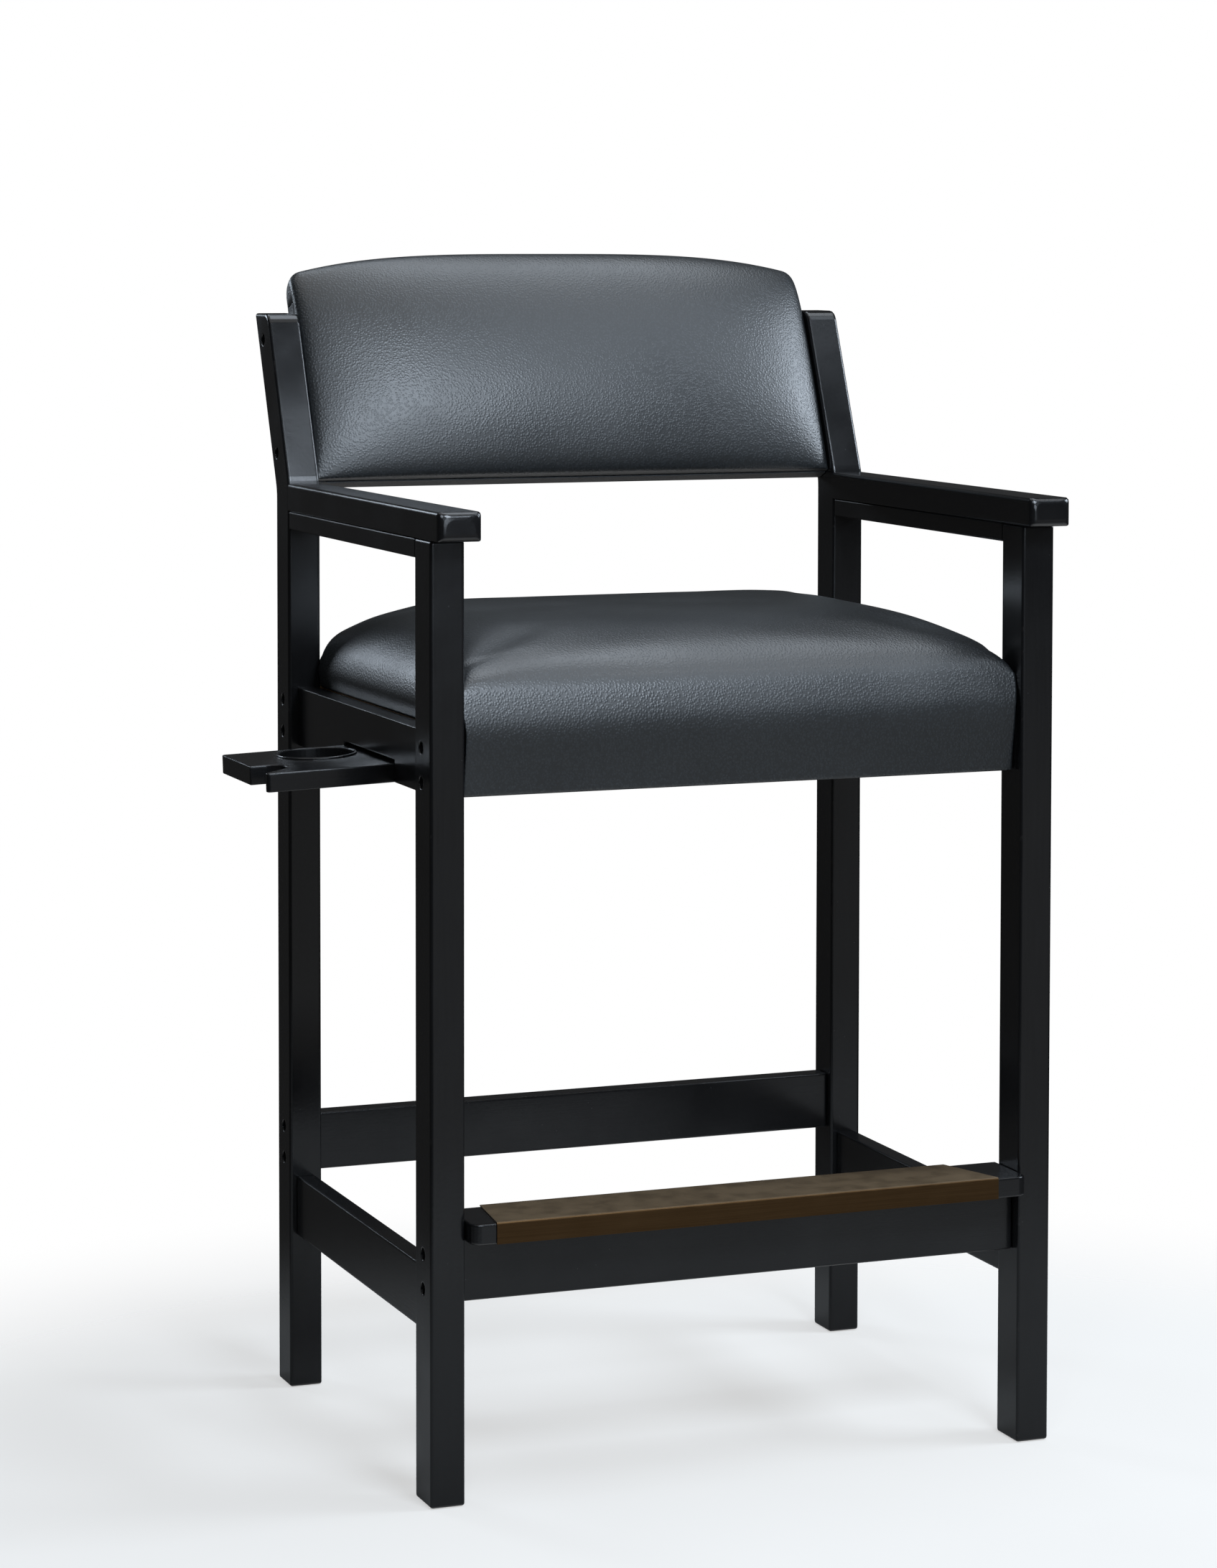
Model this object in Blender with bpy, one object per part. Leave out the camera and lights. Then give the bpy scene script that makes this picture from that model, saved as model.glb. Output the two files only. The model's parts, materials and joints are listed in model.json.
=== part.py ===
"""Spectator chair with a slide-out drink tray.

One object for each sub-part, in metres, +Z up, the front of the chair towards -Y and the tray on the -X side.
Chair coordinates have x = 0 on the middle plane, y = 0 on the front of the legs and z = 0 on the floor.
"""

import math

import bmesh
import bpy
from mathutils import Matrix, Vector

# Clearances
fit_gap = 0.0003
slide_gap = 0.0008
bolt_gap = 0.0003
soft_gap = 0.0006

# Side frames
frame_width = 0.620
frame_depth = 0.4716
leg_width = 0.0326
leg_depth = 0.0438
post_width = 0.0328
post_depth = 0.0406
upright_edge = 0.0026
wood_edge = 0.0018
foot_gap = 0.0008

# Arms
arm_height = 0.901
cap_thickness = 0.027
cap_front_width = 0.0414
cap_rear_width = 0.0352
cap_outreach = 0.0022
cap_rear_outreach = 0.0005
cap_overhang = 0.030
cap_edge_round = 0.003
cap_nose_round = 0.0065
arm_rail_height = 0.0180
arm_rail_inset = 0.0005

# Leaning part of the rear posts
rake_angle = math.radians(22.6)
bend_below_arm = 0.005
post_rise = 0.1655
post_top_round = 0.014
post_bend_radius = 0.040

# Seat frame
seat_rail_top = 0.6996
seat_rail_height = 0.0575
side_rail_thickness = 0.020
side_rail_inset = 0.0095
cross_rail_thickness = 0.018
front_rail_setback = 0.017
corner_block_leg = 0.045
corner_block_drop = 0.0130
corner_block_height = 0.040
deck_thickness = 0.0125

# Lower stretchers
side_stretcher_bottom = 0.1534
side_stretcher_height = 0.0590
side_stretcher_thickness = 0.0186
rear_stretcher_bottom = 0.2156
rear_stretcher_height = 0.0568
rear_stretcher_thickness = 0.022
front_stretcher_bottom = 0.1839
front_stretcher_height = 0.0576
front_stretcher_thickness = 0.017

# Footrest
footrest_thickness = 0.0188
footrest_overhang = 0.019
footrest_depth = 0.068
footrest_corner = 0.009
plate_thickness = 0.0012
plate_bend = 0.0025
plate_inset_left = 0.023
plate_inset_right = 0.031
plate_slant_left = 0.008
plate_slant_right = 0.024

# Seat cushion
cushion_side_inset = 0.0275
cushion_setback = 0.0137
cushion_boxing = 0.0195
cushion_crown = 0.0687
cushion_tuck = 0.003
cushion_front_lean = 0.0015
cushion_rear_overlap = 0.0166
cushion_side_power = 9.8
cushion_side_softness = 0.76
cushion_front_power = 4.4
cushion_front_softness = 0.76
cushion_rear_power = 10.0

# Back rest, measured along and across the leaning posts from the bend
back_board_thickness = 0.015
back_board_offset = 0.004
back_board_start = 0.003
back_board_height = 0.192
back_pad_start = 0.004
back_pad_height = 0.2445
back_pad_edge = 0.011
back_pad_crown = 0.027
back_pad_rear = 0.0032
back_pad_arch = 0.0213
back_pad_arch_power = 3.5
back_pad_corner = 0.011
back_pad_top_round = 0.008
back_pad_fullness = 4.0
back_bolt_low = 0.038
back_bolt_high = 0.158

# Tray
tray_width = 0.150
tray_length = 0.232
tray_thickness = 0.0176
tray_reach = 0.1215
tray_forward = 0.0315
tray_droop = math.radians(2.0)
tray_headroom = 0.0032
tray_corner = 0.003
cup_bore = 0.070
cup_wall = 0.0012
cup_lip = 0.0030
cup_lip_rise = 0.0018
cup_depth = 0.0110
cup_from_rear = 0.048
cup_from_rail = 0.0425
cue_radius = 0.017
cue_depth = 0.030
cue_from_front = 0.039
cue_nose = 0.003
runner_thickness = 0.012
runner_ledge = 0.009
runner_floor = 0.0065
tray_stop_length = 0.012
tray_stop_height = 0.010

# Bolts and glides
bolt_shank = 0.006
bolt_head = 0.0105
bolt_head_height = 0.0055
bolt_socket = 0.005
bolt_socket_depth = 0.003
bolt_recess = 0.0035
bolt_grip = 0.020
bolt_hole_extra = 0.002
counterbore = 0.012
bolt_spacing = 0.0315
glide_diameter = 0.020
glide_height = 0.0032

# Places that follow from the sizes above
half_width = frame_width / 2
leg_inner = half_width - leg_width
post_inner = half_width - post_width
post_front = frame_depth - post_depth
post_middle = frame_depth - post_depth / 2
leg_middle = leg_depth / 2
leg_top = arm_height - cap_thickness - fit_gap
rail_outer = half_width - side_rail_inset
rail_inner = rail_outer - side_rail_thickness
rail_bottom = seat_rail_top - seat_rail_height
rail_middle_height = seat_rail_top - seat_rail_height / 2
front_rail_middle = front_rail_setback + cross_rail_thickness / 2
bend_height = arm_height - bend_below_arm
tray_middle = (leg_depth + post_front) / 2 - tray_forward
tray_top = rail_bottom + tray_thickness
cap_reach = half_width + cap_outreach
bolt_head_depth = bolt_recess + bolt_head_height
front_stretcher_top = front_stretcher_bottom + front_stretcher_height

BLACK_LACQUER = ((0.010, 0.010, 0.011), 0.32, 0.0)
BARE_WOOD = ((0.42, 0.29, 0.17), 0.70, 0.0)
BLACK_VINYL = ((0.020, 0.022, 0.025), 0.48, 0.0)
BRONZE_PLATE = ((0.110, 0.075, 0.040), 0.42, 0.9)
BLACK_PLASTIC = ((0.012, 0.012, 0.012), 0.40, 0.0)
BLACK_STEEL = ((0.020, 0.020, 0.021), 0.38, 0.9)


def clear_scene():
    for item in list(bpy.data.objects):
        bpy.data.objects.remove(item, do_unlink=True)


def paint(item, finish):
    """Gives an object its own Principled material."""
    colour, roughness, metallic = finish
    made = bpy.data.materials.new(item.name)
    made.use_nodes = True
    shader = made.node_tree.nodes["Principled BSDF"]
    shader.inputs["Base Color"].default_value = (*colour, 1.0)
    shader.inputs["Roughness"].default_value = roughness
    shader.inputs["Metallic"].default_value = metallic
    item.data.materials.clear()
    item.data.materials.append(made)


def add_empty(name, parent, location=(0, 0, 0), rotation=(0, 0, 0)):
    item = bpy.data.objects.new(name, None)
    bpy.context.scene.collection.objects.link(item)
    item.parent = parent
    item.location = location
    item.rotation_euler = rotation
    return item


def add_object(name, shape, parent, finish=None, location=(0, 0, 0), rotation=(0, 0, 0)):
    """Turns a bmesh into an object; a shape without a finish is a cutter."""
    bmesh.ops.recalc_face_normals(shape, faces=shape.faces)
    mesh = bpy.data.meshes.new(name)
    shape.to_mesh(mesh)
    shape.free()
    item = bpy.data.objects.new(name, mesh)
    bpy.context.scene.collection.objects.link(item)
    item.parent = parent
    item.location = location
    item.rotation_euler = rotation
    mesh.shade_smooth()
    mesh.set_sharp_from_angle(angle=math.radians(32))
    if finish is None:
        item.hide_render = True
        item.display_type = "WIRE"
    else:
        paint(item, finish)
    return item


def cut(item, *cutters):
    for cutter in cutters:
        step = item.modifiers.new(cutter.name, "BOOLEAN")
        step.operation = "DIFFERENCE"
        step.solver = "EXACT"
        step.object = cutter


def rounded(corners, steps=4):
    """Closed outline whose corners (a, b, radius) become arcs."""
    outline = []
    for index, (a, b, radius) in enumerate(corners):
        here = Vector((a, b))
        back = (Vector(corners[index - 1][:2]) - here).normalized()
        ahead = (Vector(corners[(index + 1) % len(corners)][:2]) - here).normalized()
        if radius <= 0:
            outline.append(tuple(here))
            continue
        half = back.angle(ahead) / 2
        centre = here + (back + ahead).normalized() * radius / math.sin(half)
        start = here + back * radius / math.tan(half) - centre
        turn = math.copysign(math.pi - 2 * half, back.y * ahead.x - back.x * ahead.y)
        for step in range(steps + 1):
            outline.append(tuple(centre + Matrix.Rotation(turn * step / steps, 2) @ start))
    return outline


def rectangle(low, high, radius=0.0):
    places = [(low[0], low[1]), (high[0], low[1]), (high[0], high[1]), (low[0], high[1])]
    return [(a, b, radius) for a, b in places]


def prism(outline, axis, low, high):
    """Solid of an outline drawn across an axis; an end is a place or a function of the outline's point."""
    order = {"x": (2, 0, 1), "y": (0, 2, 1), "z": (0, 1, 2)}[axis]
    shape = bmesh.new()
    ends = []
    for end in (low, high):
        ring = []
        for a, b in outline:
            values = (a, b, end(a, b) if callable(end) else end)
            ring.append(shape.verts.new([values[order[k]] for k in range(3)]))
        ends.append(ring)
        shape.faces.new(ring)
    for k in range(len(outline)):
        shape.faces.new((ends[0][k - 1], ends[0][k], ends[1][k], ends[1][k - 1]))
    return shape


def ease(shape, width=wood_edge, steps=3):
    """Rounds every sharp edge of a shape."""
    bmesh.ops.recalc_face_normals(shape, faces=shape.faces)
    sharp = [edge for edge in shape.edges if edge.calc_face_angle(0) > math.radians(30)]
    bmesh.ops.bevel(shape, geom=sharp, offset=width, segments=steps, profile=0.5, affect="EDGES")
    return shape


def box(low, high, edge=wood_edge):
    return ease(prism(rounded(rectangle(low[:2], high[:2])), "z", low[2], high[2]), edge)


def span(side, near, far):
    """The two x values of a piece on one side of the chair, in rising order."""
    return sorted((side * near, side * far))


def loft(rings):
    """Closed solid through rings of points; points that coincide are shared."""
    shape = bmesh.new()
    known = {}

    def vertex(point):
        key = tuple(round(value * 1e6) for value in point)
        if key not in known:
            known[key] = shape.verts.new(point)
        return known[key]

    def face(points):
        corners = list(dict.fromkeys(vertex(point) for point in points))
        if len(corners) > 2:
            shape.faces.new(corners)

    for first, second in zip(rings, rings[1:]):
        for k in range(len(first)):
            face((first[k - 1], first[k], second[k], second[k - 1]))
    face(rings[0])
    face(rings[-1])
    return shape


def turned(profile, steps, hexagon=()):
    """Solid of revolution about z; rings listed in hexagon follow a six-sided socket instead of a circle."""
    shape = bmesh.new()
    rings = []
    for index, (radius, height) in enumerate(profile):
        ring = []
        for k in range(steps):
            angle = 2 * math.pi * k / steps
            reach = radius
            if index in hexagon:
                reach = radius / math.cos(angle % (math.pi / 3) - math.pi / 6)
            ring.append(shape.verts.new((reach * math.cos(angle), reach * math.sin(angle), height)))
        rings.append(ring)
    shape.faces.new(rings[0])
    shape.faces.new(rings[-1])
    for first, second in zip(rings, rings[1:]):
        for k in range(steps):
            shape.faces.new((first[k - 1], first[k], second[k], second[k - 1]))
    bmesh.ops.recalc_face_normals(shape, faces=shape.faces)
    return shape


def joined(shapes):
    """One bmesh from several (shape, matrix) pairs that keep clear of each other."""
    whole = bmesh.new()
    for shape, matrix in shapes:
        shape.transform(matrix)
        mesh = bpy.data.meshes.new("joined")
        shape.to_mesh(mesh)
        shape.free()
        whole.from_mesh(mesh)
        bpy.data.meshes.remove(mesh)
    return whole


def on_post(along, across):
    """Chair y and z of a place measured along and across the leaning part of the rear posts."""
    y = post_middle + along * math.sin(rake_angle) + across * math.cos(rake_angle)
    z = bend_height + along * math.cos(rake_angle) - across * math.sin(rake_angle)
    return y, z


def back_pad_depth():
    """Places across the posts of the pad's ridge and of its rear face."""
    rear = back_board_offset + back_board_thickness / 2 + soft_gap + back_pad_rear
    return (rear - back_pad_edge) / 2, rear


def back_pad_round(height):
    """Quarter round from the ridge of the pad to its rear face, as places across and along the posts."""
    ridge, rear = back_pad_depth()
    steps = 4
    places = []
    for k in range(1, steps + 1):
        angle = math.pi / 2 * k / steps
        drop = back_pad_top_round * (1 - math.cos(angle))
        places.append((ridge + (rear - ridge) * math.sin(angle), back_pad_start + height - drop))
    return places


def rear_of_chair():
    """Rearmost y: on the round behind the top of the back pad."""
    return max(on_post(along, across)[0] for across, along in back_pad_round(back_pad_height))


def bolt_places():
    """Chair y, z and head-to-member distance of each bolt of one side: legs first, then posts."""
    front_heights = [rail_middle_height - bolt_spacing / 2, rail_middle_height + bolt_spacing / 2]
    stretcher_middle = front_stretcher_bottom + front_stretcher_height / 2
    rear_middle = rear_stretcher_bottom + rear_stretcher_height / 2
    places = [("front_rail", front_rail_middle, z, leg_width) for z in front_heights]
    for z in (stretcher_middle - bolt_spacing / 2, stretcher_middle + bolt_spacing / 2):
        places.append(("front_stretcher", leg_middle, z, leg_width))
    places += [("rear_rail", post_middle, z, post_width) for z in front_heights]
    for z in (rear_middle - bolt_spacing / 2, rear_middle + bolt_spacing / 2):
        places.append(("rear_stretcher", post_middle, z, post_width))
    for along in (back_bolt_low, back_bolt_high):
        y, z = on_post(along, back_board_offset)
        places.append(("back_board", y, z, post_width))
    return places


def facing_in(side):
    """Turn that points local z from an outer face towards the middle of the chair."""
    return Matrix.Rotation(-side * math.pi / 2, 4, "Y")


def bolt_holes(root, side):
    """Stepped cutter for the bolts of one side: counterbore, then a hole through the leg into its member."""
    wide = counterbore / 2
    narrow = bolt_shank / 2 + bolt_gap
    shapes = []
    for _, y, z, thick in bolt_places():
        end = thick + fit_gap + bolt_grip + bolt_hole_extra
        seat = bolt_head_depth
        profile = [(wide, -seat), (wide, seat), (narrow, seat), (narrow, end)]
        place = Matrix.Translation((side * half_width, y, z)) @ facing_in(side)
        shapes.append((turned(profile, 16), place))
    name = "bolt_holes_left" if side < 0 else "bolt_holes_right"
    return add_object(name, joined(shapes), root)


def bolts(root, side):
    """Socket-head bolts, each seated on the floor of its counterbore."""
    chamfer = 0.1 * bolt_shank
    top = -bolt_head_height
    for number, (member, y, z, thick) in enumerate(bolt_places()):
        length = thick + fit_gap + bolt_grip - bolt_head_depth - fit_gap
        profile = [
            (bolt_socket / 2, top + bolt_socket_depth),
            (bolt_socket / 2, top),
            (bolt_head / 2 - chamfer, top),
            (bolt_head / 2, top + chamfer),
            (bolt_head / 2, 0),
            (bolt_shank / 2, 0),
            (bolt_shank / 2, length - chamfer),
            (bolt_shank / 2 - chamfer, length),
        ]
        row = "lower" if number % 2 == 0 else "upper"
        name = f"bolt_{member}_{'left' if side < 0 else 'right'}_{row}"
        seat = half_width - bolt_head_depth + fit_gap
        shape = turned(profile, 12, hexagon=(0, 1))
        turn = facing_in(side).to_euler()
        add_object(name, shape, root, BLACK_STEEL, (side * seat, y, z), turn)


def glide_places():
    x_front = half_width - leg_width / 2
    x_rear = half_width - post_width / 2
    return [
        ("front_left", -x_front, leg_middle),
        ("front_right", x_front, leg_middle),
        ("rear_left", -x_rear, post_middle),
        ("rear_right", x_rear, post_middle),
    ]


def glide_pockets(root):
    shapes = []
    for _, x, y in glide_places():
        reach = glide_diameter / 2 + fit_gap
        profile = [(reach, -glide_height), (reach, glide_height + fit_gap)]
        shapes.append((turned(profile, 20), Matrix.Translation((x, y, 0))))
    return add_object("glide_pockets", joined(shapes), root)


def glides(root):
    edge = glide_height / 4
    reach = glide_diameter / 2
    for name, x, y in glide_places():
        profile = [(reach - edge, 0), (reach, edge), (reach, glide_height)]
        add_object(f"glide_{name}", turned(profile, 20), root, BLACK_PLASTIC, (x, y, 0))


def front_leg(root, side, *cutters):
    x = span(side, leg_inner, half_width)
    shape = box((x[0], 0, foot_gap), (x[1], leg_depth, leg_top), upright_edge)
    name = "front_leg_left" if side < 0 else "front_leg_right"
    cut(add_object(name, shape, root, BLACK_LACQUER), *cutters)


def rear_post(root, side, *cutters):
    """Straight up to the arm, then leaning back, with a round front corner at the top."""
    half = post_depth / 2
    bend = half * math.tan(rake_angle / 2)
    top = arm_height + post_rise

    def at_top(across):
        along = (top - bend_height + across * math.sin(rake_angle)) / math.cos(rake_angle)
        return on_post(along, across)

    corners = [
        (post_front, foot_gap, 0),
        (frame_depth, foot_gap, 0),
        (frame_depth, bend_height - bend, post_bend_radius),
        (*at_top(half), upright_edge),
        (*at_top(-half), post_top_round),
        (post_front, bend_height + bend, post_bend_radius),
    ]
    x = span(side, post_inner, half_width)
    shape = ease(prism(rounded(corners), "x", *x), upright_edge)
    name = "rear_post_left" if side < 0 else "rear_post_right"
    cut(add_object(name, shape, root, BLACK_LACQUER), *cutters)


def arm_cap(root, side):
    """Cap that widens to the front, with eased upper edges that round off further at the nose."""

    def ring(y, inset):
        share = (post_front - y) / (post_front + cap_overhang)
        outer = half_width + cap_rear_outreach + (cap_outreach - cap_rear_outreach) * share
        inner = outer - cap_rear_width - (cap_front_width - cap_rear_width) * share
        low = arm_height - cap_thickness + inset
        high = arm_height - inset
        corners = [
            (inner + inset, low, wood_edge),
            (outer - inset, low, wood_edge),
            (outer - inset, high, cap_edge_round + inset),
            (inner + inset, high, cap_edge_round + inset),
        ]
        return [(side * x, y, z) for x, z in rounded(corners, 3)]

    steps = 5
    rings = [ring(post_front - fit_gap, 0)]
    for step in range(steps + 1):
        angle = math.pi / 2 * step / steps
        shrink = cap_nose_round * (1 - math.cos(angle))
        rings.append(ring(cap_nose_round * (1 - math.sin(angle)) - cap_overhang, shrink))
    name = "arm_cap_left" if side < 0 else "arm_cap_right"
    add_object(name, loft(rings), root, BLACK_LACQUER)


def arm_rail(root, side):
    inner = max(leg_inner, post_inner) + arm_rail_inset
    x = span(side, inner, half_width - arm_rail_inset)
    low = (x[0], leg_depth + fit_gap, leg_top - arm_rail_height)
    high = (x[1], post_front - fit_gap, leg_top)
    name = "arm_rail_left" if side < 0 else "arm_rail_right"
    add_object(name, box(low, high), root, BLACK_LACQUER)


def side_seat_rail(root, side):
    """Rail between leg and post; the left one has a notch, open below, for the tray."""
    near = leg_depth + fit_gap
    far = post_front - fit_gap
    corners = [(near, rail_bottom, 0)]
    if side < 0:
        reach = tray_width / 2 + slide_gap
        notch_top = tray_top + tray_headroom
        corners += [
            (tray_middle - reach, rail_bottom, 0),
            (tray_middle - reach, notch_top, 0),
            (tray_middle + reach, notch_top, 0),
            (tray_middle + reach, rail_bottom, 0),
        ]
    corners += [(far, rail_bottom, 0), (far, seat_rail_top, 0), (near, seat_rail_top, 0)]
    shape = ease(prism(rounded(corners), "x", *span(side, rail_inner, rail_outer)), wood_edge / 2)
    name = "seat_rail_left" if side < 0 else "seat_rail_right"
    add_object(name, shape, root, BLACK_LACQUER)


def cross_member(root, name, inner, middle, thickness, bottom, height, cutters):
    """Straight member between the two side frames, bored at both ends for its bolts."""
    reach = inner - fit_gap
    low = (-reach, middle - thickness / 2, bottom)
    high = (reach, middle + thickness / 2, bottom + height)
    cut(add_object(name, box(low, high), root, BLACK_LACQUER), *cutters)


def seat_cross_rails(root, cutters):
    size = (cross_rail_thickness, rail_bottom, seat_rail_height)
    cross_member(root, "seat_rail_front", leg_inner, front_rail_middle, *size, cutters)
    cross_member(root, "seat_rail_rear", post_inner, post_middle, *size, cutters)


def lower_cross_stretchers(root, cutters):
    front = (front_stretcher_thickness, front_stretcher_bottom, front_stretcher_height)
    rear = (rear_stretcher_thickness, rear_stretcher_bottom, rear_stretcher_height)
    cross_member(root, "stretcher_front", leg_inner, leg_middle, *front, cutters)
    cross_member(root, "stretcher_rear", post_inner, post_middle, *rear, cutters)


def side_stretcher(root, side):
    middle = half_width - leg_width / 2
    x = span(side, middle - side_stretcher_thickness / 2, middle + side_stretcher_thickness / 2)
    low = (x[0], leg_depth + fit_gap, side_stretcher_bottom)
    high = (x[1], post_front - fit_gap, side_stretcher_bottom + side_stretcher_height)
    name = "stretcher_left" if side < 0 else "stretcher_right"
    add_object(name, box(low, high), root, BLACK_LACQUER)


def footrest(root):
    """Board on the front stretcher, passing between the legs, and the folded plate over its top and front."""
    reach = leg_inner - fit_gap
    front = -footrest_overhang
    rear = front + footrest_depth
    low = front_stretcher_top + fit_gap
    high = low + footrest_thickness
    corners = [
        (-reach, front, footrest_corner),
        (reach, front, footrest_corner),
        (reach, rear, 0),
        (-reach, rear, 0),
    ]
    shape = ease(prism(rounded(corners), "z", low, high))
    add_object("footrest_board", shape, root, BLACK_LACQUER)
    inner_front = front - fit_gap
    outer_front = inner_front - plate_thickness
    inner_top = high + fit_gap
    outer_top = inner_top + plate_thickness
    section = [
        (outer_front, low, 0),
        (inner_front, low, 0),
        (inner_front, inner_top, plate_bend - plate_thickness),
        (rear, inner_top, 0),
        (rear, outer_top, 0),
        (outer_front, outer_top, plate_bend),
    ]

    def left_end(y, _):
        return plate_inset_left - reach + plate_slant_left * max(y - front, 0) / footrest_depth

    def right_end(y, _):
        return reach - plate_inset_right - plate_slant_right * max(y - front, 0) / footrest_depth

    shape = prism(rounded(section), "x", left_end, right_end)
    add_object("footrest_plate", shape, root, BRONZE_PLATE)


def seat_deck(root):
    reach = min(leg_inner, post_inner) - soft_gap
    front = front_rail_middle + cross_rail_thickness / 2 + fit_gap
    rear = post_middle - cross_rail_thickness / 2 - fit_gap
    low = (-reach, front, seat_rail_top - deck_thickness)
    high = (reach, rear, seat_rail_top - fit_gap)
    add_object("seat_deck", box(low, high, wood_edge / 2), root, BARE_WOOD)


def corner_blocks(root):
    """Triangular blocks in the four corners of the seat frame, under the deck."""
    high = seat_rail_top - corner_block_drop
    low = high - corner_block_height
    rail = rail_inner - fit_gap
    rows = {
        "front": (front_rail_middle + cross_rail_thickness / 2 + fit_gap, leg_depth + fit_gap, leg_inner, 1),
        "rear": (post_middle - cross_rail_thickness / 2 - fit_gap, post_front - fit_gap, post_inner, -1),
    }
    for row, (member, upright, inner, ahead) in rows.items():
        for side in (-1, 1):
            face = inner - fit_gap
            outline = [
                (side * (face - corner_block_leg), member),
                (side * face, member),
                (side * face, upright),
                (side * rail, upright),
                (side * rail, member + ahead * corner_block_leg),
            ]
            name = f"corner_block_{row}_{'left' if side < 0 else 'right'}"
            add_object(name, prism(outline, "z", low, high), root, BARE_WOOD)


def cushion_half_width(y):
    """Wide over the side rails, narrower where the cushion passes between the legs and between the posts."""
    wide = half_width - cushion_side_inset
    ramp = 2 * cushion_boxing / 5
    narrow_front = min(leg_inner - soft_gap, wide)
    narrow_rear = min(post_inner - soft_gap, wide)
    if y < leg_depth + ramp:
        share = min(max((y - leg_depth - soft_gap) / (ramp - soft_gap), 0), 1)
        return narrow_front + (wide - narrow_front) * share
    share = min(max((post_front - soft_gap - y) / (ramp - soft_gap), 0), 1)
    return narrow_rear + (wide - narrow_rear) * share


def seat_cushion(root):
    """Crowned cushion with drawn-in sides, whose cover runs down over the front rail."""
    front = cushion_setback
    flap = front_rail_setback - fit_gap
    rear = post_front + cushion_rear_overlap
    base = seat_rail_top + fit_gap
    shoulder = base + cushion_boxing
    middle = (front + rear) / 2
    half = (rear - front) / 2
    columns = 18
    rows = 20

    def crown(y):
        along = abs((y - middle) / half)
        if y > middle:
            return cushion_crown * (1 - along**cushion_rear_power)
        return cushion_crown * max(1 - along**cushion_front_power, 0) ** cushion_front_softness

    def ring(y, low, lean=0.0):
        width = cushion_half_width(y)
        points = [(-(width - cushion_tuck), y, low)]
        for k in range(columns + 1):
            across = -math.cos(math.pi * k / columns)
            share = max(1 - abs(across) ** cushion_side_power, 0) ** cushion_side_softness
            points.append((across * width, y + lean, shoulder + crown(y) * share))
        points.append((width - cushion_tuck, y, low))
        return points

    ramp = 2 * cushion_boxing / 5
    stations = [leg_depth + soft_gap, leg_depth + ramp, post_front - ramp, post_front - soft_gap]
    for k in range(1, rows + 1):
        y = middle - half * math.cos(math.pi * k / rows)
        if y > flap + soft_gap and min(abs(y - known) for known in stations[:4]) > ramp / 2:
            stations.append(y)
    rings = [ring(front, rail_bottom, cushion_front_lean), ring(flap, rail_bottom)]
    rings += [ring(y, base) for y in [flap] + sorted(stations)]
    add_object("seat_cushion", loft(rings), root, BLACK_VINYL)


def back_rest(root, cutters):
    """Board bolted between the posts, with a padded cover drawn down over it."""
    turn = add_empty("back_rest", root, (0, post_middle, bend_height), (-rake_angle, 0, 0))
    reach = post_inner - fit_gap
    near = back_board_offset - back_board_thickness / 2
    far = back_board_offset + back_board_thickness / 2
    board_top = back_board_start + back_board_height
    low = (-reach, near, back_board_start)
    high = (reach, far, board_top)
    cut(add_object("back_board", box(low, high, wood_edge / 2), turn, BLACK_VINYL), *cutters)
    reach = post_inner - soft_gap
    slot_near = near - soft_gap
    slot_far = far + soft_gap
    slot_top = board_top + soft_gap
    columns = 22
    rows = 14

    def ring(x):
        share = abs(x) / reach
        into_corner = max(abs(x) - reach + back_pad_corner, 0)
        corner = back_pad_corner - math.sqrt(max(back_pad_corner**2 - into_corner**2, 0))
        height = back_pad_height - back_pad_arch * share**back_pad_arch_power - corner
        bulge = back_pad_crown * math.sqrt(max(1 - share**back_pad_fullness, 0))
        ridge, rear = back_pad_depth()
        points = []
        for k in range(rows + 1):
            level = (1 - math.cos(math.pi * k / rows)) / 2
            edge = -back_pad_edge if level < 0.5 else ridge
            fullness = math.sqrt(max(1 - abs(2 * level - 1) ** back_pad_fullness, 0))
            across = edge - (edge + back_pad_edge + bulge) * fullness
            points.append((x, across, back_pad_start + height * level))
        points += [(x, across, along) for across, along in back_pad_round(height)]
        points += [(x, rear, back_pad_start), (x, slot_far, back_pad_start), (x, slot_far, slot_top)]
        points += [(x, slot_near, slot_top), (x, slot_near, back_pad_start)]
        return points

    rings = [ring(-reach * math.cos(math.pi * k / columns)) for k in range(columns + 1)]
    add_object("back_cushion", loft(rings), turn, BLACK_VINYL)


def tray_outline():
    """Plan of the tray board, from the rail's outer face: cue notch in the outer end, near the front."""
    outer = -tray_reach
    inner = outer + tray_length
    front = -tray_width / 2
    rear = tray_width / 2
    centre = Vector((outer + cue_depth - cue_radius, front + cue_from_front))
    nose = Vector((outer, front + 2 * cue_nose))
    to_centre = centre - nose
    lead = math.asin(cue_radius / to_centre.length)
    tangent = math.atan2(to_centre.y, to_centre.x) - lead - math.pi / 2
    steps = 12
    corners = [
        (outer, front, cue_nose),
        (inner, front, tray_corner),
        (inner, rear, tray_corner),
        (outer, rear, tray_corner),
    ]
    outline = rounded(corners)
    outline.append((outer, centre.y + cue_radius))
    for k in range(steps + 1):
        angle = math.pi / 2 + (tangent - math.pi / 2) * k / steps
        outline.append((centre.x + cue_radius * math.cos(angle), centre.y + cue_radius * math.sin(angle)))
    outline.append(tuple(nose))
    return outline


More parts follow.
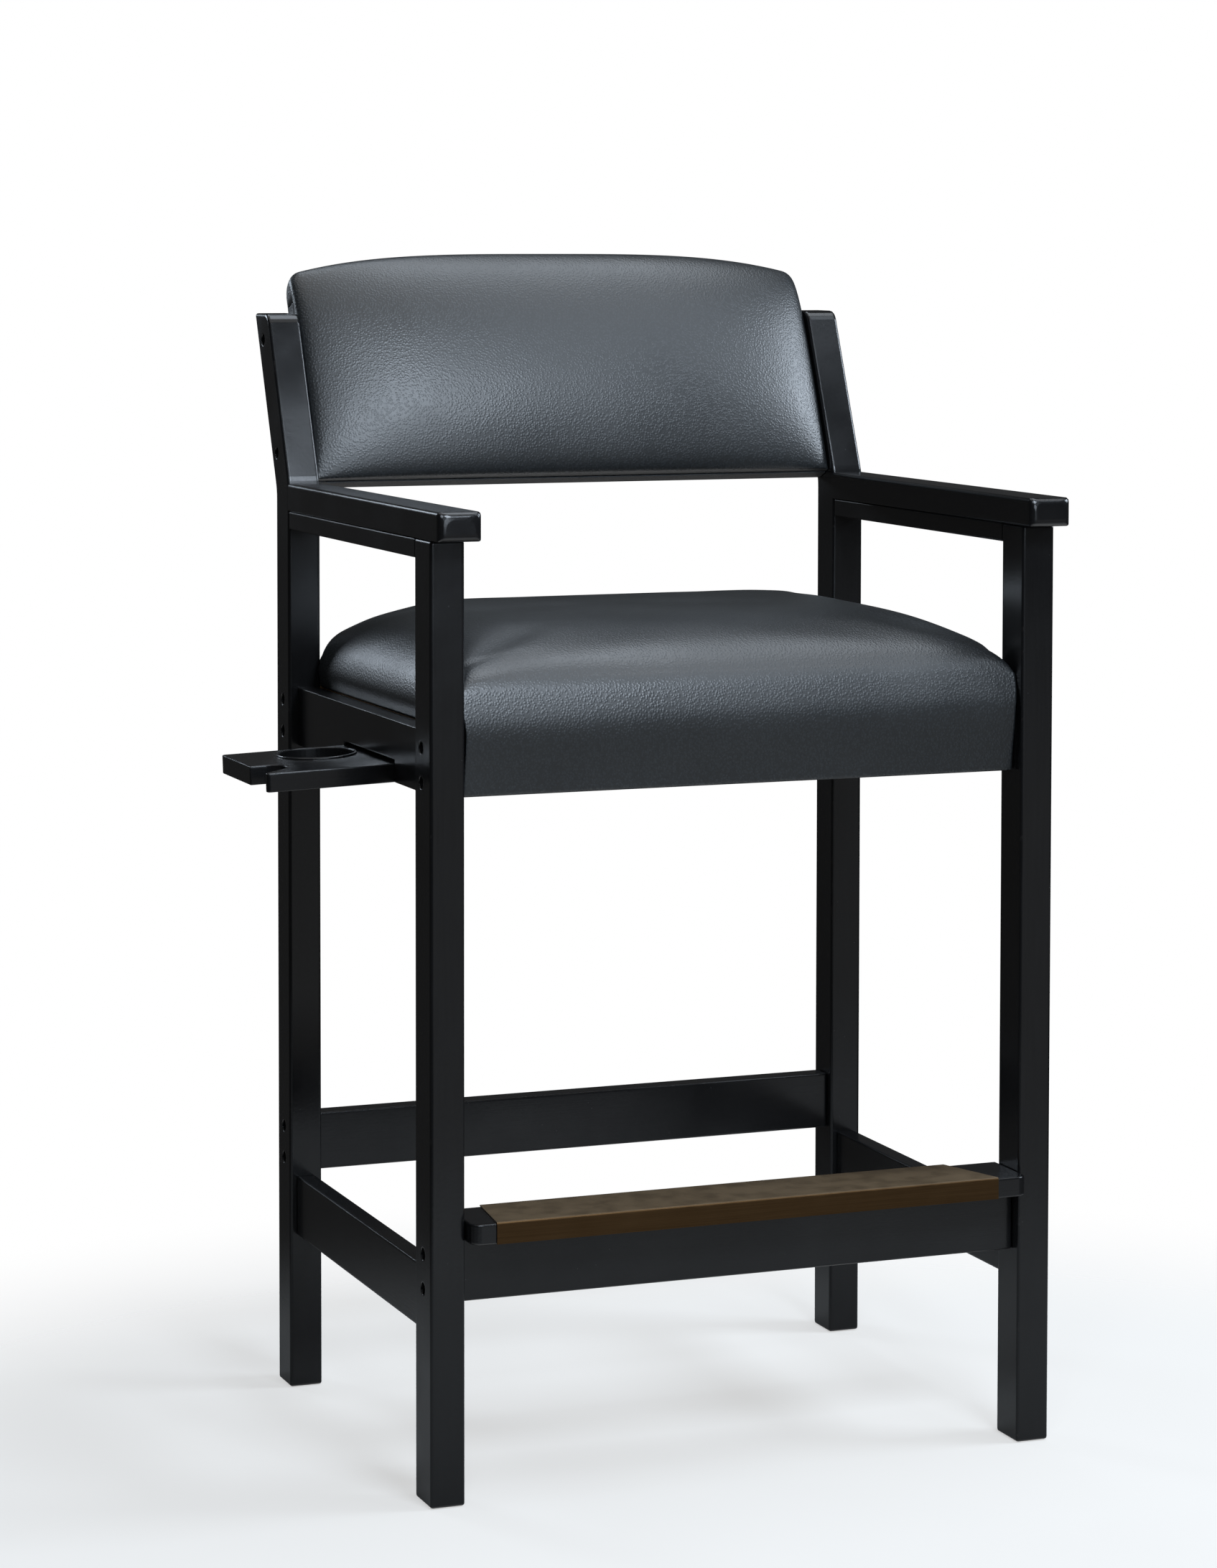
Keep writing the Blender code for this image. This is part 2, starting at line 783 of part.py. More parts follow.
def tray(root):
    """Board with a cup insert, sliding out under the left seat rail on runners under the level deck."""
    place = (-rail_outer, tray_middle, tray_top)
    turn = add_empty("tray_slide", root, place, (0, -tray_droop, 0))
    cup_place = (-cup_from_rail, tray_width / 2 - cup_from_rear, 0)
    recess = cup_bore / 2 + cup_wall + fit_gap
    floor = cup_depth + cup_wall
    profile = [(recess, -floor - fit_gap), (recess, tray_thickness)]
    hole = add_object("cup_recess", turned(profile, 48), turn, None, cup_place)
    shape = ease(prism(tray_outline(), "z", -tray_thickness, 0), wood_edge / 2, 2)
    cut(add_object("tray_board", shape, turn, BLACK_LACQUER), hole)
    bore = cup_bore / 2
    profile = [(bore - cup_wall, cup_wall - floor), (bore, 2 * cup_wall - floor)]
    steps = 6
    for k in range(steps + 1):
        angle = math.pi * k / steps
        radius = bore + cup_lip / 2 * (1 - math.cos(angle))
        profile.append((radius, fit_gap + (cup_lip_rise - fit_gap) * math.sin(angle)))
    profile += [(bore + cup_wall, fit_gap), (bore + cup_wall, -floor)]
    add_object("cup_insert", turned(profile, 48), turn, BLACK_PLASTIC, cup_place)
    behind_rail = side_rail_thickness / math.cos(tray_droop) + 4 * fit_gap
    stop_low = (behind_rail, -tray_width / 4, fit_gap)
    stop_high = (behind_rail + tray_stop_length, tray_width / 4, tray_stop_height)
    add_object("tray_stop", box(stop_low, stop_high, wood_edge / 2), turn, BARE_WOOD)
    travel_end = tray_length + fit_gap
    runner_end = travel_end + tray_stop_length
    edge = tray_width / 2 + slide_gap
    ledge = -tray_thickness - fit_gap
    under_deck = seat_rail_top - deck_thickness - fit_gap
    for name, side in (("tray_runner_front", -1), ("tray_runner_rear", 1)):
        rings = []
        for x in (behind_rail, runner_end):
            top = (under_deck - tray_top) / math.cos(tray_droop) - x * math.tan(tray_droop)
            section = [
                (edge - runner_ledge, ledge - runner_floor),
                (edge + runner_thickness, ledge - runner_floor),
                (edge + runner_thickness, top),
                (edge, top),
                (edge, ledge),
                (edge - runner_ledge, ledge),
            ]
            rings.append([(x, side * y, z) for y, z in section])
        add_object(name, loft(rings), turn, BARE_WOOD)
    stop_low = (travel_end, fit_gap - edge, fit_gap - tray_thickness)
    stop_high = (runner_end, edge - fit_gap, tray_stop_height)
    add_object("tray_inner_stop", box(stop_low, stop_high, wood_edge / 2), turn, BARE_WOOD)


def chair():
    clear_scene()
    left_edge = rail_outer + tray_reach * math.cos(tray_droop)
    middle_x = (left_edge - cap_reach) / 2
    middle_y = (cap_overhang - rear_of_chair()) / 2
    root = add_empty("chair", None, (middle_x, middle_y, 0))
    holes = [bolt_holes(root, -1), bolt_holes(root, 1)]
    pockets = glide_pockets(root)
    for side, hole in zip((-1, 1), holes):
        front_leg(root, side, hole, pockets)
        rear_post(root, side, hole, pockets)
        arm_cap(root, side)
        arm_rail(root, side)
        side_seat_rail(root, side)
        side_stretcher(root, side)
        bolts(root, side)
    seat_cross_rails(root, holes)
    lower_cross_stretchers(root, holes)
    footrest(root)
    seat_deck(root)
    corner_blocks(root)
    seat_cushion(root)
    back_rest(root, holes)
    tray(root)
    glides(root)


chair()
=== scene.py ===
"""Dressed model of a spectator chair: upholstery, finishes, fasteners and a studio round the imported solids.

Laid out as an add-on and run as a script. Lengths are in metres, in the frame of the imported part.
"""

import json
import math

import bmesh
import bpy
import numpy as np
from bpy.props import FloatProperty, FloatVectorProperty, PointerProperty
from mathutils import Matrix, Vector


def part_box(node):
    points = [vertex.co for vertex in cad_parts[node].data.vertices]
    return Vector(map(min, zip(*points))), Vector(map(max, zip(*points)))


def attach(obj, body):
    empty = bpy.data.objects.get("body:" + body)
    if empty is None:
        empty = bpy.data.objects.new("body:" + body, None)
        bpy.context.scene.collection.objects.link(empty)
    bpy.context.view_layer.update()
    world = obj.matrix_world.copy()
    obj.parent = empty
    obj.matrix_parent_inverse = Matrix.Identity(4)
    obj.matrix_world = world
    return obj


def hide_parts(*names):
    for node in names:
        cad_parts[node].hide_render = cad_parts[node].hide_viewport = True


bl_info = {
    "name": "Spectator Chair",
    "version": (1, 0, 0),
    "blender": (4, 5, 0),
    "location": "View3D > Sidebar > Chair",
    "description": "Upholstery, finishes, fasteners and studio of a spectator chair",
    "category": "Object",
}

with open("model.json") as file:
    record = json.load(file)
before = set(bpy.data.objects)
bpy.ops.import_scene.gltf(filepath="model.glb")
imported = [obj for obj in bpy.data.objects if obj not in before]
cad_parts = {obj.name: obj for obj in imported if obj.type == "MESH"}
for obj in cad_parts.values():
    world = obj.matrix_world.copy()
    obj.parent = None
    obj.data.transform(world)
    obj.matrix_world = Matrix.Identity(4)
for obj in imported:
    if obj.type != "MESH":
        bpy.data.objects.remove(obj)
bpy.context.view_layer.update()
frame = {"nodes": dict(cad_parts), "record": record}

MM = 0.001


def linear(code):
    """Scene-linear colour of an sRGB hex code."""
    parts = [int(code[k : k + 2], 16) / 255 for k in (1, 3, 5)]
    return tuple(v / 12.92 if v <= 0.04045 else ((v + 0.055) / 1.055) ** 2.4 for v in parts)


def length(name, description, default):
    return FloatProperty(
        name=name, description=description, default=default, unit="LENGTH", subtype="DISTANCE"
    )


def angle(name, description, degrees):
    return FloatProperty(
        name=name, description=description, default=math.radians(degrees), subtype="ANGLE"
    )


def number(name, description, default):
    return FloatProperty(name=name, description=description, default=default)


def colour(name, description, code):
    return FloatVectorProperty(
        name=name, description=description, default=linear(code), subtype="COLOR", size=3, min=0, max=1
    )


class ChairUpholstery(bpy.types.PropertyGroup):
    """Form of the seat and back covers."""

    boxing: length("Boxing", "Height of the upright border of the seat cover", 0.0195)
    seat_start: length("Seat start", "How much lower the seat starts before it settles", 0.003)
    seat_lean: length("Seat lean", "How far the seat's front border leans back at its top", 0.0015)
    seat_lean_power: number("Seat lean power", "High values keep the lean near the top of the border", 2.6)
    seat_side_power: number("Seat side power", "How square the seat is across", 9.8)
    seat_side_softness: number("Seat side softness", "Low values give steeper sides", 0.76)
    seat_front_power: number("Seat front power", "How square the seat is towards the front", 4.2)
    seat_front_softness: number("Seat front softness", "Low values give a steeper front", 0.52)
    seat_rear_power: number("Seat rear power", "How square the seat is towards the rear", 10.0)
    seat_hip: number("Seat hip", "High values give the corners of the seat a sharper hip", 2.0)
    front_rise: length("Front rise", "How much higher the shoulder stands at the front", 0.017)
    front_rise_depth: length("Front rise depth", "How far back from the front the shoulder is raised", 0.11)
    seat_tuck: length("Seat tuck", "How far the border is drawn in at the rails", 0.003)
    seat_bulge: length("Seat bulge", "How far the seat's front swells out", 0.0075)
    seat_bulge_rise: number("Seat bulge rise", "High values put that swell higher up", 1.5)
    roll_depth: length("Roll depth", "How far the front roll leans back over the rail", 0.1)
    roll_fade: number("Roll fade", "How soon the roll stops leaning back above the border", 0.12)
    tuck_width: length("Tuck width", "How far in from a front leg the cover is drawn down", 0.026)
    tuck_depth: length("Tuck depth", "How far the cover is drawn down beside a front leg", 0.003)
    turned_edge: length("Turned edge", "Width of the cover turned under the front rail", 0.016)
    pucker: length("Pucker", "How far the turned edge puckers between its staples", 0.0004)
    back_crown: length("Back crown", "Swell of the back pad's front", 0.027)
    back_extra: length("Back extra", "How much fuller the back's middle is than its solid", 0.006)
    back_start: length("Back start", "How much flatter the back starts before it settles", 0.003)
    back_arch: length("Back arch", "Drop of the back's upper edge towards its corners", 0.0213)
    back_arch_power: number("Back arch power", "High values keep the drop near the corners", 3.5)
    back_corner: length("Back corner", "Radius of the back's upper corners", 0.011)
    back_top_round: length("Back top round", "Rounding of the back's upper edge", 0.008)
    back_fullness: number("Back fullness", "How square the back's swell is", 2.7)
    cover_thickness: length("Cover thickness", "Thickness of the vinyl cover", 0.001)
    hem_radius: length("Hem radius", "Radius of the cut edge under the back pad", 0.0006)
    hem_wave: length("Hem wave", "How far the hem wanders from a straight line", 0.0022)
    hem_wave_length: length("Hem wave length", "Distance over which the hem wanders", 0.06)
    pressure: number("Pressure", "Stuffing pressure while a cover settles", 4.0)
    swell: length("Swell", "Most that a cover may move while it settles", 0.004)
    staple_pitch: length("Staple pitch", "Distance between staples under the front rail", 0.032)
    staple_width: length("Staple width", "Length of a staple's crown", 0.011)
    staple_wire: length("Staple wire", "Radius of a staple's wire", 0.0005)
    staple_leg: length("Staple leg", "Length of a staple's legs", 0.003)


class ChairFinish(bpy.types.PropertyGroup):
    """Colours of the finishes."""

    lacquer_dark: colour("Lacquer, dark", "Black lacquer in the pores", "#0b0b0c")
    lacquer_light: colour("Lacquer, light", "Black lacquer on the figure", "#171718")
    dust: colour("Dust", "Specks on the lacquer", "#8b8b88")
    edge_round: length("Edge round", "Softening of the lacquered edges", 0.0018)
    flush_round: length("Flush round", "Softening of edges that close flush with a neighbour", 0.0002)
    worn: colour("Worn edge", "Stained wood where the lacquer has rubbed through", "#8a8279")
    backing: colour("Backing", "Woven backing at the cut edge of the vinyl", "#5e6163")
    vinyl_dark: colour("Vinyl, dark", "Vinyl in the valleys of the grain", "#15181a")
    vinyl_light: colour("Vinyl, light", "Vinyl on the grain", "#212528")
    bronze_dark: colour("Bronze, dark", "Darker streaks of the footrest plate", "#3e2d1b")
    # Painted light: the footrest plate's top is mixed towards this paler tone for the light that falls on it
    # from above; scuff noise varies how much.
    bronze_light: colour("Bronze, light", "Lighter streaks of the footrest plate", "#5c462e")
    bronze_lit_and_scuffed_top: colour("Bronze, lit top", "Top of the footrest plate, painted paler for the light from above and scuffed in patches", "#76644d")
    plastic: colour("Plastic", "Cup insert and glides", "#151516")
    steel: colour("Steel", "Blackened steel of the bolts", "#6a6a6c")
    zinc: colour("Zinc", "Plated staples", "#b9bcc0")
    wood_dark: colour("Wood, dark", "Late wood of the bare pieces", "#8f6a40")
    wood_light: colour("Wood, light", "Early wood of the bare pieces", "#c9a878")
    floor: colour("Floor", "Paper sweep under the chair", "#f4f1ec")


class ChairStudio(bpy.types.PropertyGroup):
    """Camera and light."""

    focal_length: number("Focal length", "Lens in millimetres on a 36 mm frame", 96.32)
    drop: number("Lens shift", "Downward shift of the lens, as a share of the frame", 0.2)
    stand: FloatVectorProperty(
        name="Camera",
        description="Camera from the floor between the front faces of the front legs",
        default=(-1.5108, -3.5175, 1.1438),
        subtype="TRANSLATION",
        unit="LENGTH",
    )
    heading: angle("Heading", "Turn of the camera to the right", 21.284)
    tilt: angle("Tilt", "Tilt of the camera downwards", 3.19)
    roll: angle("Roll", "Roll of the camera", -0.08)
    overhead_power: number("Overhead", "Power of the soft box above in watts", 22.0)
    right_power: number("Right", "Power of the soft box on the right in watts", 50.0)
    front_power: number("Front", "Power of the soft box above the camera in watts", 48.0)
    edge_power: number("Edge", "Power of the small soft box in front on the left in watts", 11.0)
    kicker_power: number("Kicker", "Power of the soft box behind on the left in watts", 16.0)
    high_power: number("High", "Power of the soft box high on the right in front in watts", 7.0)
    rear_power: number("Rear", "Power of the soft box high behind in watts", 8.0)
    fill_power: number("Fill", "Power of the low soft box in front in watts", 12.5)
    light_colour: colour("Light", "Colour of the soft boxes", "#e4f1ff")
    ambient: number("Ambient", "Strength of the even light", 0.06)
    surround: number("Surround", "Brightness of the dark cards that the gloss sees", 0.04)
    front_card: number("Front card", "Brightness of the pale card in front of the chair", 0.28)
    rear_card: number("Rear card", "Brightness of the pale card behind the chair", 0.045)
    paper: number("Paper", "How much the paper under the chair covers the white behind it", 0.45)


def upholstery():
    return bpy.context.scene.chair_upholstery


def finish():
    return bpy.context.scene.chair_finish


def studio():
    return bpy.context.scene.chair_studio


# Places taken from the solids


def corners(node):
    """Lowest and highest corner of a node."""
    low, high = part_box(node)
    return Vector(low), Vector(high)


def chair_middle():
    """Point on the floor midway between the front faces of the front legs."""
    left = corners("front_leg_left")
    right = corners("front_leg_right")
    return Vector(((left[0].x + right[1].x) / 2, left[0].y, 0))


# The rear posts lean back by this much above the arms
RAKE = math.radians(22.6)
LEAN = Matrix.Rotation(-RAKE, 4, "X")


def leaning_box(node):
    """Lowest and highest corner of a node along the leaning back: x, rearwards and up the lean."""
    turned = [LEAN.inverted() @ vertex.co for vertex in frame["nodes"][node].data.vertices]
    low = Vector([min(point[k] for point in turned) for k in range(3)])
    high = Vector([max(point[k] for point in turned) for k in range(3)])
    return low, high


def slot_of(node):
    """Material slot of a node in the record."""
    return next(part["material_slot"] for part in frame["record"]["subparts"] if part["node"] == node)


# Making meshes and objects


def add_piece(name, mesh, material):
    """New object of a mesh, in one material."""
    piece = bpy.data.objects.new(name, mesh)
    bpy.context.scene.collection.objects.link(piece)
    mesh.materials.clear()
    mesh.materials.append(material)
    return piece


def grid_mesh(name, grids, merge=0.0002):
    """Mesh of several grids of points whose shared edges are joined."""
    shape = bmesh.new()
    for rows in grids:
        made = [[shape.verts.new(point) for point in row] for row in rows]
        for first, second in zip(made, made[1:]):
            for k in range(len(first) - 1):
                shape.faces.new((first[k], first[k + 1], second[k + 1], second[k]))
    bmesh.ops.remove_doubles(shape, verts=shape.verts, dist=merge)
    bmesh.ops.dissolve_degenerate(shape, edges=shape.edges, dist=merge / 10)
    bmesh.ops.recalc_face_normals(shape, faces=shape.faces)
    mesh = bpy.data.meshes.new(name)
    shape.to_mesh(mesh)
    shape.free()
    mesh.shade_smooth()
    return mesh


def settle(piece, hold, pressure, swell):
    """Lets stuffing pressure swell a cover; hold gives each point's grip from 0, free, to 1, held."""
    frames = 20
    points = piece.data.vertices
    normals = [point.normal.copy() for point in points]
    grips = [hold(point.co) for point in points]
    group = piece.vertex_groups.new(name="held")
    for index, grip in enumerate(grips):
        group.add([index], grip, "REPLACE")
    cloth = piece.modifiers.new("cloth", "CLOTH")
    cloth.settings.quality = 6
    cloth.settings.mass = 0.4
    cloth.settings.tension_stiffness = 30
    cloth.settings.compression_stiffness = 30
    cloth.settings.shear_stiffness = 12
    cloth.settings.bending_stiffness = 4
    cloth.settings.use_pressure = True
    cloth.settings.uniform_pressure_force = pressure
    cloth.settings.vertex_group_mass = group.name
    cloth.settings.effector_weights.gravity = 0
    cloth.collision_settings.use_collision = False
    scene = bpy.context.scene
    for step in range(1, frames + 1):
        scene.frame_set(step)
    settled = piece.evaluated_get(bpy.context.evaluated_depsgraph_get())
    rises = []
    for before, after, normal, grip in zip(points, settled.data.vertices, normals, grips):
        rise = (after.co - before.co).dot(normal)
        rises.append(min(max(rise, -swell), swell) * (1 - grip))
    piece.modifiers.remove(cloth)
    scene.frame_set(1)
    for rise, point, normal in zip(evened(piece.data, rises), points, normals):
        point.co += float(rise) * normal
    piece.vertex_groups.remove(group)


def evened(mesh, values, passes=8):
    """Values at a mesh's points, averaged with their neighbours a few times."""
    edges = np.array([edge.vertices for edge in mesh.edges])
    values = np.array(values)
    count = np.bincount(edges.ravel(), minlength=len(values))
    for _ in range(passes):
        total = np.bincount(edges[:, 0], values[edges[:, 1]], len(values))
        total += np.bincount(edges[:, 1], values[edges[:, 0]], len(values))
        values = (values + total / count) / 2
    return values


def finish_cover(piece):
    """One subdivision smooths a settled cover; its folded edges stay crisp."""
    fold = math.radians(60)
    crispness = 0.8
    shape = bmesh.new()
    shape.from_mesh(piece.data)
    crease = shape.edges.layers.float.new("crease_edge")
    for edge in shape.edges:
        if edge.calc_face_angle(0) > fold:
            edge[crease] = crispness
    shape.to_mesh(piece.data)
    shape.free()
    smoothing = piece.modifiers.new("smooth", "SUBSURF")
    smoothing.levels = 1
    smoothing.render_levels = 1


def plain_mesh(maker, name, material):
    """Plain mesh of what an object's node modifier makes, as a new piece; the maker goes away."""
    depsgraph = bpy.context.evaluated_depsgraph_get()
    mesh = bpy.data.meshes.new_from_object(maker.evaluated_get(depsgraph))
    bpy.data.objects.remove(maker, do_unlink=True)
    if len(mesh.polygons) == 0:
        raise RuntimeError(f"{name} came out empty")
    mesh.name = name
    return add_piece(name, mesh, material)


# Node helpers


def feed(tree, node, inputs):
    """Sets a node's inputs, by name or number, to values or links them from sockets."""
    for key, value in inputs.items():
        if isinstance(value, bpy.types.NodeSocket):
            tree.links.new(value, node.inputs[key])
        else:
            node.inputs[key].default_value = value


def add_node(tree, kind, inputs=None, **settings):
    """Adds one node with its settings and inputs."""
    made = tree.nodes.new(kind)
    for key, value in settings.items():
        setattr(made, key, value)
    feed(tree, made, inputs or {})
    return made


def new_material(name):
    """New material with its tree, its shader and the object's own coordinates."""
    material = bpy.data.materials.new(name)
    material.use_nodes = True
    tree = material.node_tree
    coords = add_node(tree, "ShaderNodeTexCoord")
    return material, tree, tree.nodes["Principled BSDF"], coords.outputs["Object"]


def empty_tree(owner):
    """Node tree of a material or a world, with nothing in it yet."""
    owner.use_nodes = True
    owner.node_tree.nodes.clear()
    return owner.node_tree


def drawn_out(along, times):
    """Scale of a pattern that is drawn out so many times along one axis."""
    return [1 / times if axis == along else 1.0 for axis in "xyz"]


# Materials

VINYL = "black_vinyl_embossed"


def black_lacquer(along, edge_round):
    """Black lacquer sprayed on close-grained hardwood, with the grain along one axis.

    The eye sees a deep black with a soft sheen, faint pores along the length, a little orange peel, patches
    that handling has made shinier, single specks of dust, and soft edges that are rubbed through in places.
    """
    name = f"black_lacquer_sprayed_grain_{along}_{edge_round / MM:.1f}"
    material, tree, shader, place = new_material(name)
    pore_width = 1.4 * MM
    pore_stretch = 40
    peel_width = 3.5 * MM
    patch_width = 70 * MM
    speck_spacing = 16 * MM
    speck_share = 0.035
    wear_width = 11 * MM
    stretch = drawn_out(along, pore_stretch)
    lengthwise = add_node(tree, "ShaderNodeMapping", {"Vector": place, "Scale": stretch}).outputs[0]
    pores = add_node(
        tree, "ShaderNodeTexNoise", {"Vector": lengthwise, "Scale": 1 / pore_width, "Detail": 3}
    )
    peel = add_node(tree, "ShaderNodeTexNoise", {"Vector": place, "Scale": 1 / peel_width, "Detail": 1})
    patches = add_node(tree, "ShaderNodeTexNoise", {"Vector": place, "Scale": 1 / patch_width, "Detail": 4})
    specks = add_node(tree, "ShaderNodeTexVoronoi", {"Vector": place, "Scale": 1 / speck_spacing})
    speck = add_node(
        tree,
        "ShaderNodeMapRange",
        {"Value": specks.outputs[0], "From Min": speck_share, "From Max": 0, "To Min": 0, "To Max": 0.35},
    )
    figure = add_node(
        tree,
        "ShaderNodeMix",
        {0: pores.outputs[0], 6: (*finish().lacquer_dark, 1), 7: (*finish().lacquer_light, 1)},
        data_type="RGBA",
    )
    dusty = add_node(
        tree,
        "ShaderNodeMix",
        {0: speck.outputs[0], 6: figure.outputs[2], 7: (*finish().dust, 1)},
        data_type="RGBA",
    )
    sheen = add_node(
        tree,
        "ShaderNodeMapRange",
        {"Value": patches.outputs[0], "From Min": 0.3, "From Max": 0.7, "To Min": 0.17, "To Max": 0.27},
    )
    edges = add_node(tree, "ShaderNodeBevel", {"Radius": edge_round}, samples=8)
    face = add_node(tree, "ShaderNodeNewGeometry").outputs["Normal"]
    flatness = add_node(
        tree, "ShaderNodeVectorMath", {0: edges.outputs[0], 1: face}, operation="DOT_PRODUCT"
    )
    edge = add_node(
        tree,
        "ShaderNodeMapRange",
        {"Value": flatness.outputs["Value"], "From Min": 0.99, "From Max": 0.90, "To Min": 0, "To Max": 1},
    )
    rubs = add_node(tree, "ShaderNodeTexNoise", {"Vector": place, "Scale": 1 / wear_width, "Detail": 4})
    rubbed = add_node(
        tree,
        "ShaderNodeMapRange",
        {"Value": rubs.outputs[0], "From Min": 0.62, "From Max": 0.70, "To Min": 0, "To Max": 0.5},
    )
    wear = add_node(
        tree, "ShaderNodeMath", {0: edge.outputs[0], 1: rubbed.outputs[0]}, operation="MULTIPLY"
    )
    worn = add_node(
        tree,
        "ShaderNodeMix",
        {0: wear.outputs[0], 6: dusty.outputs[2], 7: (*finish().worn, 1)},
        data_type="RGBA",
    )
    flow = add_node(
        tree,
        "ShaderNodeBump",
        {"Height": peel.outputs[0], "Normal": edges.outputs[0], "Strength": 0.10, "Distance": 0.3 * MM},
    )
    relief = add_node(
        tree,
        "ShaderNodeBump",
        {"Height": pores.outputs[0], "Normal": flow.outputs[0], "Strength": 0.10, "Distance": 0.2 * MM},
    )
    looks = {"Base Color": worn.outputs[2], "Roughness": sheen.outputs[0], "Normal": relief.outputs[0]}
    feed(tree, shader, {**looks, "IOR": 1.48})
    return material


def grained_vinyl():
    """Black upholstery vinyl, embossed with a pebble grain and calendered to a low sheen.

    The eye sees rounded pebbles, darker valleys, a broad soft highlight that the grain breaks up, and slow
    changes of sheen where it has been stretched. The real pebbles are about two millimetres wide. They are
    drawn a little wider, so that they show in the render.
    """
    material, tree, shader, place = new_material(VINYL)
    pebble_width = 2.4 * MM
    crease_width = 9 * MM
    patch_width = 110 * MM
    bend_share = 0.0015
    wander = add_node(tree, "ShaderNodeTexNoise", {"Vector": place, "Scale": 1 / crease_width, "Detail": 2})
    bent = add_node(
        tree,
        "ShaderNodeMix",
        {0: bend_share, 4: place, 5: wander.outputs["Color"]},
        data_type="VECTOR",
    )
    pebbles = add_node(
        tree,
        "ShaderNodeTexVoronoi",
        {"Vector": bent.outputs[1], "Scale": 1 / pebble_width, "Smoothness": 0.35, "Randomness": 0.9},
        feature="SMOOTH_F1",
    )
    patches = add_node(tree, "ShaderNodeTexNoise", {"Vector": place, "Scale": 1 / patch_width, "Detail": 3})
    height = add_node(
        tree,
        "ShaderNodeMapRange",
        {"Value": pebbles.outputs["Distance"], "From Min": 0.1, "From Max": 0.65, "To Min": 1, "To Max": 0},
        interpolation_type="SMOOTHSTEP",
    )
    tone = add_node(
        tree,
        "ShaderNodeMix",
        {0: height.outputs[0], 6: (*finish().vinyl_dark, 1), 7: (*finish().vinyl_light, 1)},
        data_type="RGBA",
    )
    sheen = add_node(
        tree,
        "ShaderNodeMapRange",
        {"Value": patches.outputs[0], "From Min": 0.3, "From Max": 0.7, "To Min": 0.355, "To Max": 0.435},
    )
    relief = add_node(
        tree, "ShaderNodeBump", {"Height": height.outputs[0], "Strength": 0.36, "Distance": 0.36 * MM}
    )
    looks = {"Base Color": tone.outputs[2], "Roughness": sheen.outputs[0], "Normal": relief.outputs[0]}
    feed(tree, shader, {**looks, "IOR": 1.52, "Specular IOR Level": 0.8})
    return material


def woven_backing():
    """Polyester backing that shows as a pale, slightly frayed line where the vinyl was cut."""
    material, tree, shader, place = new_material("polyester_backing_cut")
    thread_width = 1.2 * MM
    threads = add_node(
        tree, "ShaderNodeTexNoise", {"Vector": place, "Scale": 1 / thread_width, "Detail": 3}
    )
    tone = add_node(
        tree,
        "ShaderNodeMix",
        {0: threads.outputs[0], 6: (*finish().vinyl_light, 1), 7: (*finish().backing, 1)},
        data_type="RGBA",
    )
    relief = add_node(
        tree, "ShaderNodeBump", {"Height": threads.outputs[0], "Strength": 0.4, "Distance": 0.2 * MM}
    )
    feed(tree, shader, {"Base Color": tone.outputs[2], "Roughness": 0.8, "Normal": relief.outputs[0]})
    return material


def brushed_bronze():
    """Bronze-coloured sheet metal, brushed along its length and scuffed by shoes.

    The eye sees a brown metal with fine lengthwise streaks and duller scuffed patches. Its top is painted
    paler and less metallic than its front, as painted light from above, and the scuffs vary that.
    """
    material, tree, shader, place = new_material("bronze_sheet_brushed")
    streak_width = 0.9 * MM
    streak_stretch = 120
    scuff_width = 26 * MM
    least_top_light = 0.45
    stretch = drawn_out("x", streak_stretch)
    lengthwise = add_node(tree, "ShaderNodeMapping", {"Vector": place, "Scale": stretch}).outputs[0]
    streaks = add_node(
        tree, "ShaderNodeTexNoise", {"Vector": lengthwise, "Scale": 1 / streak_width, "Detail": 4}
    )
    scuffs = add_node(tree, "ShaderNodeTexNoise", {"Vector": place, "Scale": 1 / scuff_width, "Detail": 6})
    tone = add_node(
        tree,
        "ShaderNodeMix",
        {0: streaks.outputs[0], 6: (*finish().bronze_dark, 1), 7: (*finish().bronze_light, 1)},
        data_type="RGBA",
    )
    dull = add_node(
        tree,
        "ShaderNodeMapRange",
        {"Value": scuffs.outputs[0], "From Min": 0.35, "From Max": 0.7, "To Min": 0.34, "To Max": 0.52},
    )
    relief = add_node(
        tree, "ShaderNodeBump", {"Height": streaks.outputs[0], "Strength": 0.12, "Distance": 0.1 * MM}
    )
    # Painted light: faces that look up are mixed towards a paler, less metallic tone, as if lit from above.
    # Scuff noise sets how much, never below a least share.
    face = add_node(tree, "ShaderNodeNewGeometry").outputs["Normal"]
    upward = add_node(tree, "ShaderNodeSeparateXYZ", {0: face})
    facing_up = add_node(
        tree,
        "ShaderNodeMapRange",
        {"Value": upward.outputs["Z"], "From Min": 0.6, "From Max": 0.95, "To Min": 0, "To Max": 1},
    )
    rubbed = add_node(
        tree, "ShaderNodeMath", {0: scuffs.outputs[0], 1: least_top_light}, operation="ADD", use_clamp=True
    )
    wear = add_node(
        tree, "ShaderNodeMath", {0: facing_up.outputs[0], 1: rubbed.outputs[0]}, operation="MULTIPLY"
    )
    worn = add_node(
        tree,
        "ShaderNodeMix",
        {0: wear.outputs[0], 6: tone.outputs[2], 7: (*finish().bronze_lit_and_scuffed_top, 1)},
        data_type="RGBA",
    )
    bare = add_node(
        tree,
        "ShaderNodeMapRange",
        {"Value": wear.outputs[0], "From Min": 0, "From Max": 1, "To Min": 1, "To Max": 0.4},
    )
    looks = {"Base Color": worn.outputs[2], "Roughness": dull.outputs[0], "Normal": relief.outputs[0]}
    feed(tree, shader, {**looks, "Metallic": bare.outputs[0]})
    return material


